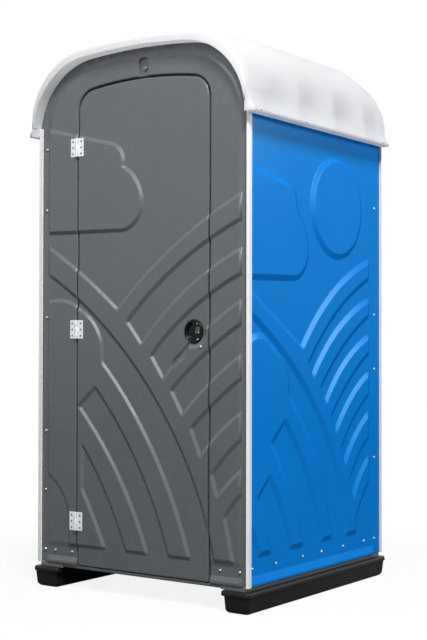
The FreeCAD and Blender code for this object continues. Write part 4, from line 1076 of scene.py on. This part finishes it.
def studs(name, spots, size, body, slot, node, turn=0.0, mirror=False, material=None):
    """Rivet heads of a radius and height at (x, y, z), facing -y before the turn."""
    axis = (*turned(0.0, -1.0, turn, mirror), 0.0)
    shapes = [lathe(dome(*size), (*turned(x, y, turn, mirror), z), axis, 20) for x, y, z in spots]
    add(name, *joined(*shapes), body, slot, (node,), 50.0, material)


OUTWARD = (0, -1, 0)
FRONT_RIVET = (7.0, 5.0)
WALL_RIVET = (7.0, 3.4)
HINGE_RIVET = (4.5, 2.0)
LOCK_SCREW = (4.5, 1.8)
ROOF_SCREW = (6.0, 2.8)
front_spots = [(-513.0, FACE + FLANGE_STEP, z) for z in (415.0, 670.0, 1160.0, 1625.0, 1890.0)]
front_spots += [(x, FACE + FLANGE_STEP, 159.0) for x in (-513.0, -455.0, -360.0, 410.0, 503.0)]
studs("front_rivet_heads", front_spots, FRONT_RIVET, "root", "rivet_grey", "front_rivets")
wall_spots = [(u, FACE, 172.0) for u in (-505.0, -333.0, -129.0, 25.0, 207.0, 392.0)]
wall_spots += [(489.0, FACE, z) for z in (172.0, 537.0, 935.0, 1179.0, 1662.0)]
for wall, _, turn, mirror in WALLS:
    studs(wall + "_wall_rivet_heads", wall_spots, WALL_RIVET, "root", "rivet_grey", wall + "_wall_rivets",
          turn, mirror)
door_spot = (320.0, FACE - FRONT_RELIEF, 1035.0)
studs("door_rivet_head", [door_spot], WALL_RIVET, "door", "rivet_grey", "door_rivet")
HINGE_FACE = FACE - FRONT_RELIEF - 2.3
HINGE_REACH = 23.0
HINGE_PITCH = 26.0
# The hinge rivet heads take the darker metal, as painted shade
for side, name, body in ((-1, "frame", "root"), (1, "door", "door")):
    spots = [(HINGE_X + side * HINGE_REACH, HINGE_FACE, z + step * HINGE_PITCH)
             for z in HINGE_HEIGHTS for step in (-1, 0, 1)]
    studs("hinge_heads_" + name, spots, HINGE_RIVET, body, "steel", "hinge_rivets_" + name,
          material=shade_dark_metal)
screws = [lathe(dome(*ROOF_SCREW), (side * LIP_HALF, y, 1958.0), (side, 0, 0), 20)
          for y in (-518.0, -180.0, 489.0) for side in (-1, 1)]
add("roof_screw_heads", *joined(*screws), "root", "rivet_grey", ("roof_screws",), 50.0)
# The anchor bolt takes the darker metal, as painted shade of its pocket
bolt_at = (26.0, FACE + 7.0, 2183.0)
washer = lathe([(0.0, 2.0), (9.0, 2.0), (9.6, 1.4), (9.6, -0.1)], bolt_at, OUTWARD, 32)
bolt_head = lathe([(0.0, 5.0), (5.6, 5.0), (6.6, 4.3), (6.6, 1.8)], bolt_at, OUTWARD, 6)
add("anchor_bolt_head", *joined(washer, bolt_head), "root", "rivet_grey", ("anchor_bolt",), 30.0,
    shade_dark_metal)

# The turn lock: a black cup with a finger hollow and a bar that holds the window
CUP_FACE = FACE - 2.0
lx, lz = LOCK
window_loop = rectangle(lx + 8, lx + 28, lz - 7, lz + 19)
hollow = sampled(segments((lx - 8, lz - 33), (lx - 8, lz + 33), ((lx - 34, lz), (lx - 8, lz - 33))), 4.0)
cup_parts = moulded_panel([circle(lx, lz, 40.0), window_loop], [Figure(hollow, -11.0, 5.0, 1.8)],
                          CUP_FACE, 15.0, 0.8, [window_loop])
place("lock_cup_face", *cup_parts, "door", "lock_black", ("lock_cup",))
rim = [(38.5, 0.0), (39.5, 1.6), (41.5, 2.7), (43.5, 2.6), (45.3, 1.4), (46.0, 0.0), (45.8, -1.9),
       (41.7, -2.0), (41.7, -27.0), (36.0, -27.0), (36.0, -15.0), (38.4, -15.0)]
RIM_COUNT = 64
rim_verts, rim_faces = lathe(rim, (lx, CUP_FACE, lz), OUTWARD, RIM_COUNT)
rim_last = (len(rim) - 1) * RIM_COUNT
rim_steps = [(k, (k + 1) % RIM_COUNT) for k in range(RIM_COUNT)]
rim_ends = [(a, rim_last + a, rim_last + b, b) for a, b in rim_steps]
add("lock_cup_rim", rim_verts, rim_faces[:-2] + rim_ends, "door", "lock_black", (), 40.0)
screw_spots = [(lx + 20.0, CUP_FACE, lz + side * 32.0) for side in (-1, 1)]
studs("lock_screw_heads", screw_spots, LOCK_SCREW, "door", "steel", "lock_screws",
      material=slot_material["rivet_grey"])

# The disc behind the window, by angle: green, below it white inside black, and red elsewhere
DISC_FACE = DOOR_BACK - 11.0
DISC_WHITE_RADIUS = 20.0
GREEN_START = 8.0
GREEN_END = 98.0
LOWER_START = -50.0
WHITE_INDEX, RED_INDEX, BLACK_INDEX = 1, 2, 3
disc_profile = [(1.0, 0.0), (10.0, 0.0), (DISC_WHITE_RADIUS, 0.0), (34.4, 0.0), (35.0, -0.6), (35.0, -3.0)]
disc_verts, disc_faces = lathe(disc_profile, (lx, DISC_FACE, lz), OUTWARD, 72)
disc = add("occupancy_disc_body", disc_verts, disc_faces, "lock_turn", "indicator", ("occupancy_disc",),
           40.0)
for fields in (disc_white, disc_red, slot_material["lock_black"]):
    disc.data.materials.append(fields)
for polygon, corners in zip(disc.data.polygons, disc_faces):
    x = sum(disc_verts[i][0] for i in corners) / len(corners) - lx
    z = sum(disc_verts[i][2] for i in corners) / len(corners) - lz
    angle = math.degrees(math.atan2(z, x))
    if LOWER_START < angle < GREEN_START:
        polygon.material_index = WHITE_INDEX if math.hypot(x, z) < DISC_WHITE_RADIUS else BLACK_INDEX
    elif not GREEN_START <= angle <= GREEN_END:
        polygon.material_index = RED_INDEX

# The floor: dark for the light that it throws back, and pale to white for the camera
floor = bpy.data.meshes.new("floor")
floor.from_pydata([(-30, -30, 0), (30, -30, 0), (30, 30, 0), (-30, 30, 0)], [], [(0, 1, 2, 3)])
floor_object = in_scene("floor", floor)
ground, tree, shader = new_material("pale_floor")
adjust(shader, Roughness=0.9)
camera_ray = tree.nodes.new("ShaderNodeLightPath").outputs["Is Camera Ray"]
ground_tone = tree.nodes.new("ShaderNodeMix")
ground_tone.data_type = "RGBA"
adjust(ground_tone, A=(0.17, 0.17, 0.17, 1.0), B=(0.8, 0.8, 0.8, 1.0))
tree.links.new(camera_ray, ground_tone.inputs["Factor"])
tree.links.new(ground_tone.outputs["Result"], shader.inputs["Base Color"])
glow = tree.nodes.new("ShaderNodeEmission")
adjust(glow, Strength=1.0)
spot = tree.nodes.new("ShaderNodeTexCoord")
away = tree.nodes.new("ShaderNodeVectorMath")
away.operation = "LENGTH"
tree.links.new(spot.outputs["Object"], away.inputs[0])
fade = spread(tree, away.outputs["Value"], 0.88, 1.0, 0.9, 2.2)
glow_share = combined(tree, "MULTIPLY", camera_ray, fade)
mixed = mix_surface(tree, 0.5, shader.outputs["BSDF"], glow.outputs["Emission"])
tree.links.new(glow_share, mixed.inputs["Fac"])
floor.materials.append(ground)

# The world: white where it is seen, also in gloss and through the window, and dim as a lamp
world = bpy.data.worlds.new("studio")
bpy.context.scene.world = world
world.use_nodes = True
tree = world.node_tree
background = tree.nodes["Background"]
adjust(background, Color=(1.0, 1.0, 1.0, 1.0))
rays = tree.nodes.new("ShaderNodeLightPath").outputs
seen = combined(tree, "MAXIMUM", rays["Is Camera Ray"], rays["Is Transmission Ray"])
either = combined(tree, "MAXIMUM", seen, rays["Is Glossy Ray"])
level = spread(tree, either, 0.09, 1.0, 0.0, 1.0)
tree.links.new(level, background.inputs["Strength"])


def softbox(name, position, target, size, watts, along):
    """A rectangular lamp that faces the target, its length along the given direction."""
    lamp = bpy.data.lights.new(name, "AREA")
    lamp.shape = "RECTANGLE"
    lamp.size = size[0]
    lamp.size_y = size[1]
    lamp.energy = watts
    back = (Vector(position) - Vector(target)).normalized()
    side = (Vector(along) - back * Vector(along).dot(back)).normalized()
    turn = Matrix((side, back.cross(side), back)).transposed()
    in_scene(name, lamp).matrix_world = Matrix.Translation(position) @ turn.to_4x4()


softbox("key", (3.69, -4.06, 7.46), (0.25, -0.3, 1.2), (1.8, 1.8), 725.0, (1.0, 0.0, 0.0))
softbox("glint_front", (0.17, -5.06, 4.31), (0.0, -0.5, 1.0), (3.0, 1.0), 100.0, (-0.77, 0.37, 0.52))
softbox("glint_right", (4.72, 3.16, 2.98), (0.5, 0.0, 1.0), (2.4, 1.1), 116.0, (-0.66, 0.73, 0.25))

# The camera, as fitted to the photograph
camera_data = bpy.data.cameras.new("camera")
camera_data.lens = 72.706
camera_data.sensor_width = 36.0
camera = in_scene("camera", camera_data)
camera.location = (3.32145, -4.70739, 1.04605)
camera.rotation_euler = [math.radians(angle) for angle in (91.0741, -0.1155, 35.2355)]
bpy.context.scene.camera = camera

bpy.context.scene.view_settings.view_transform = "Standard"
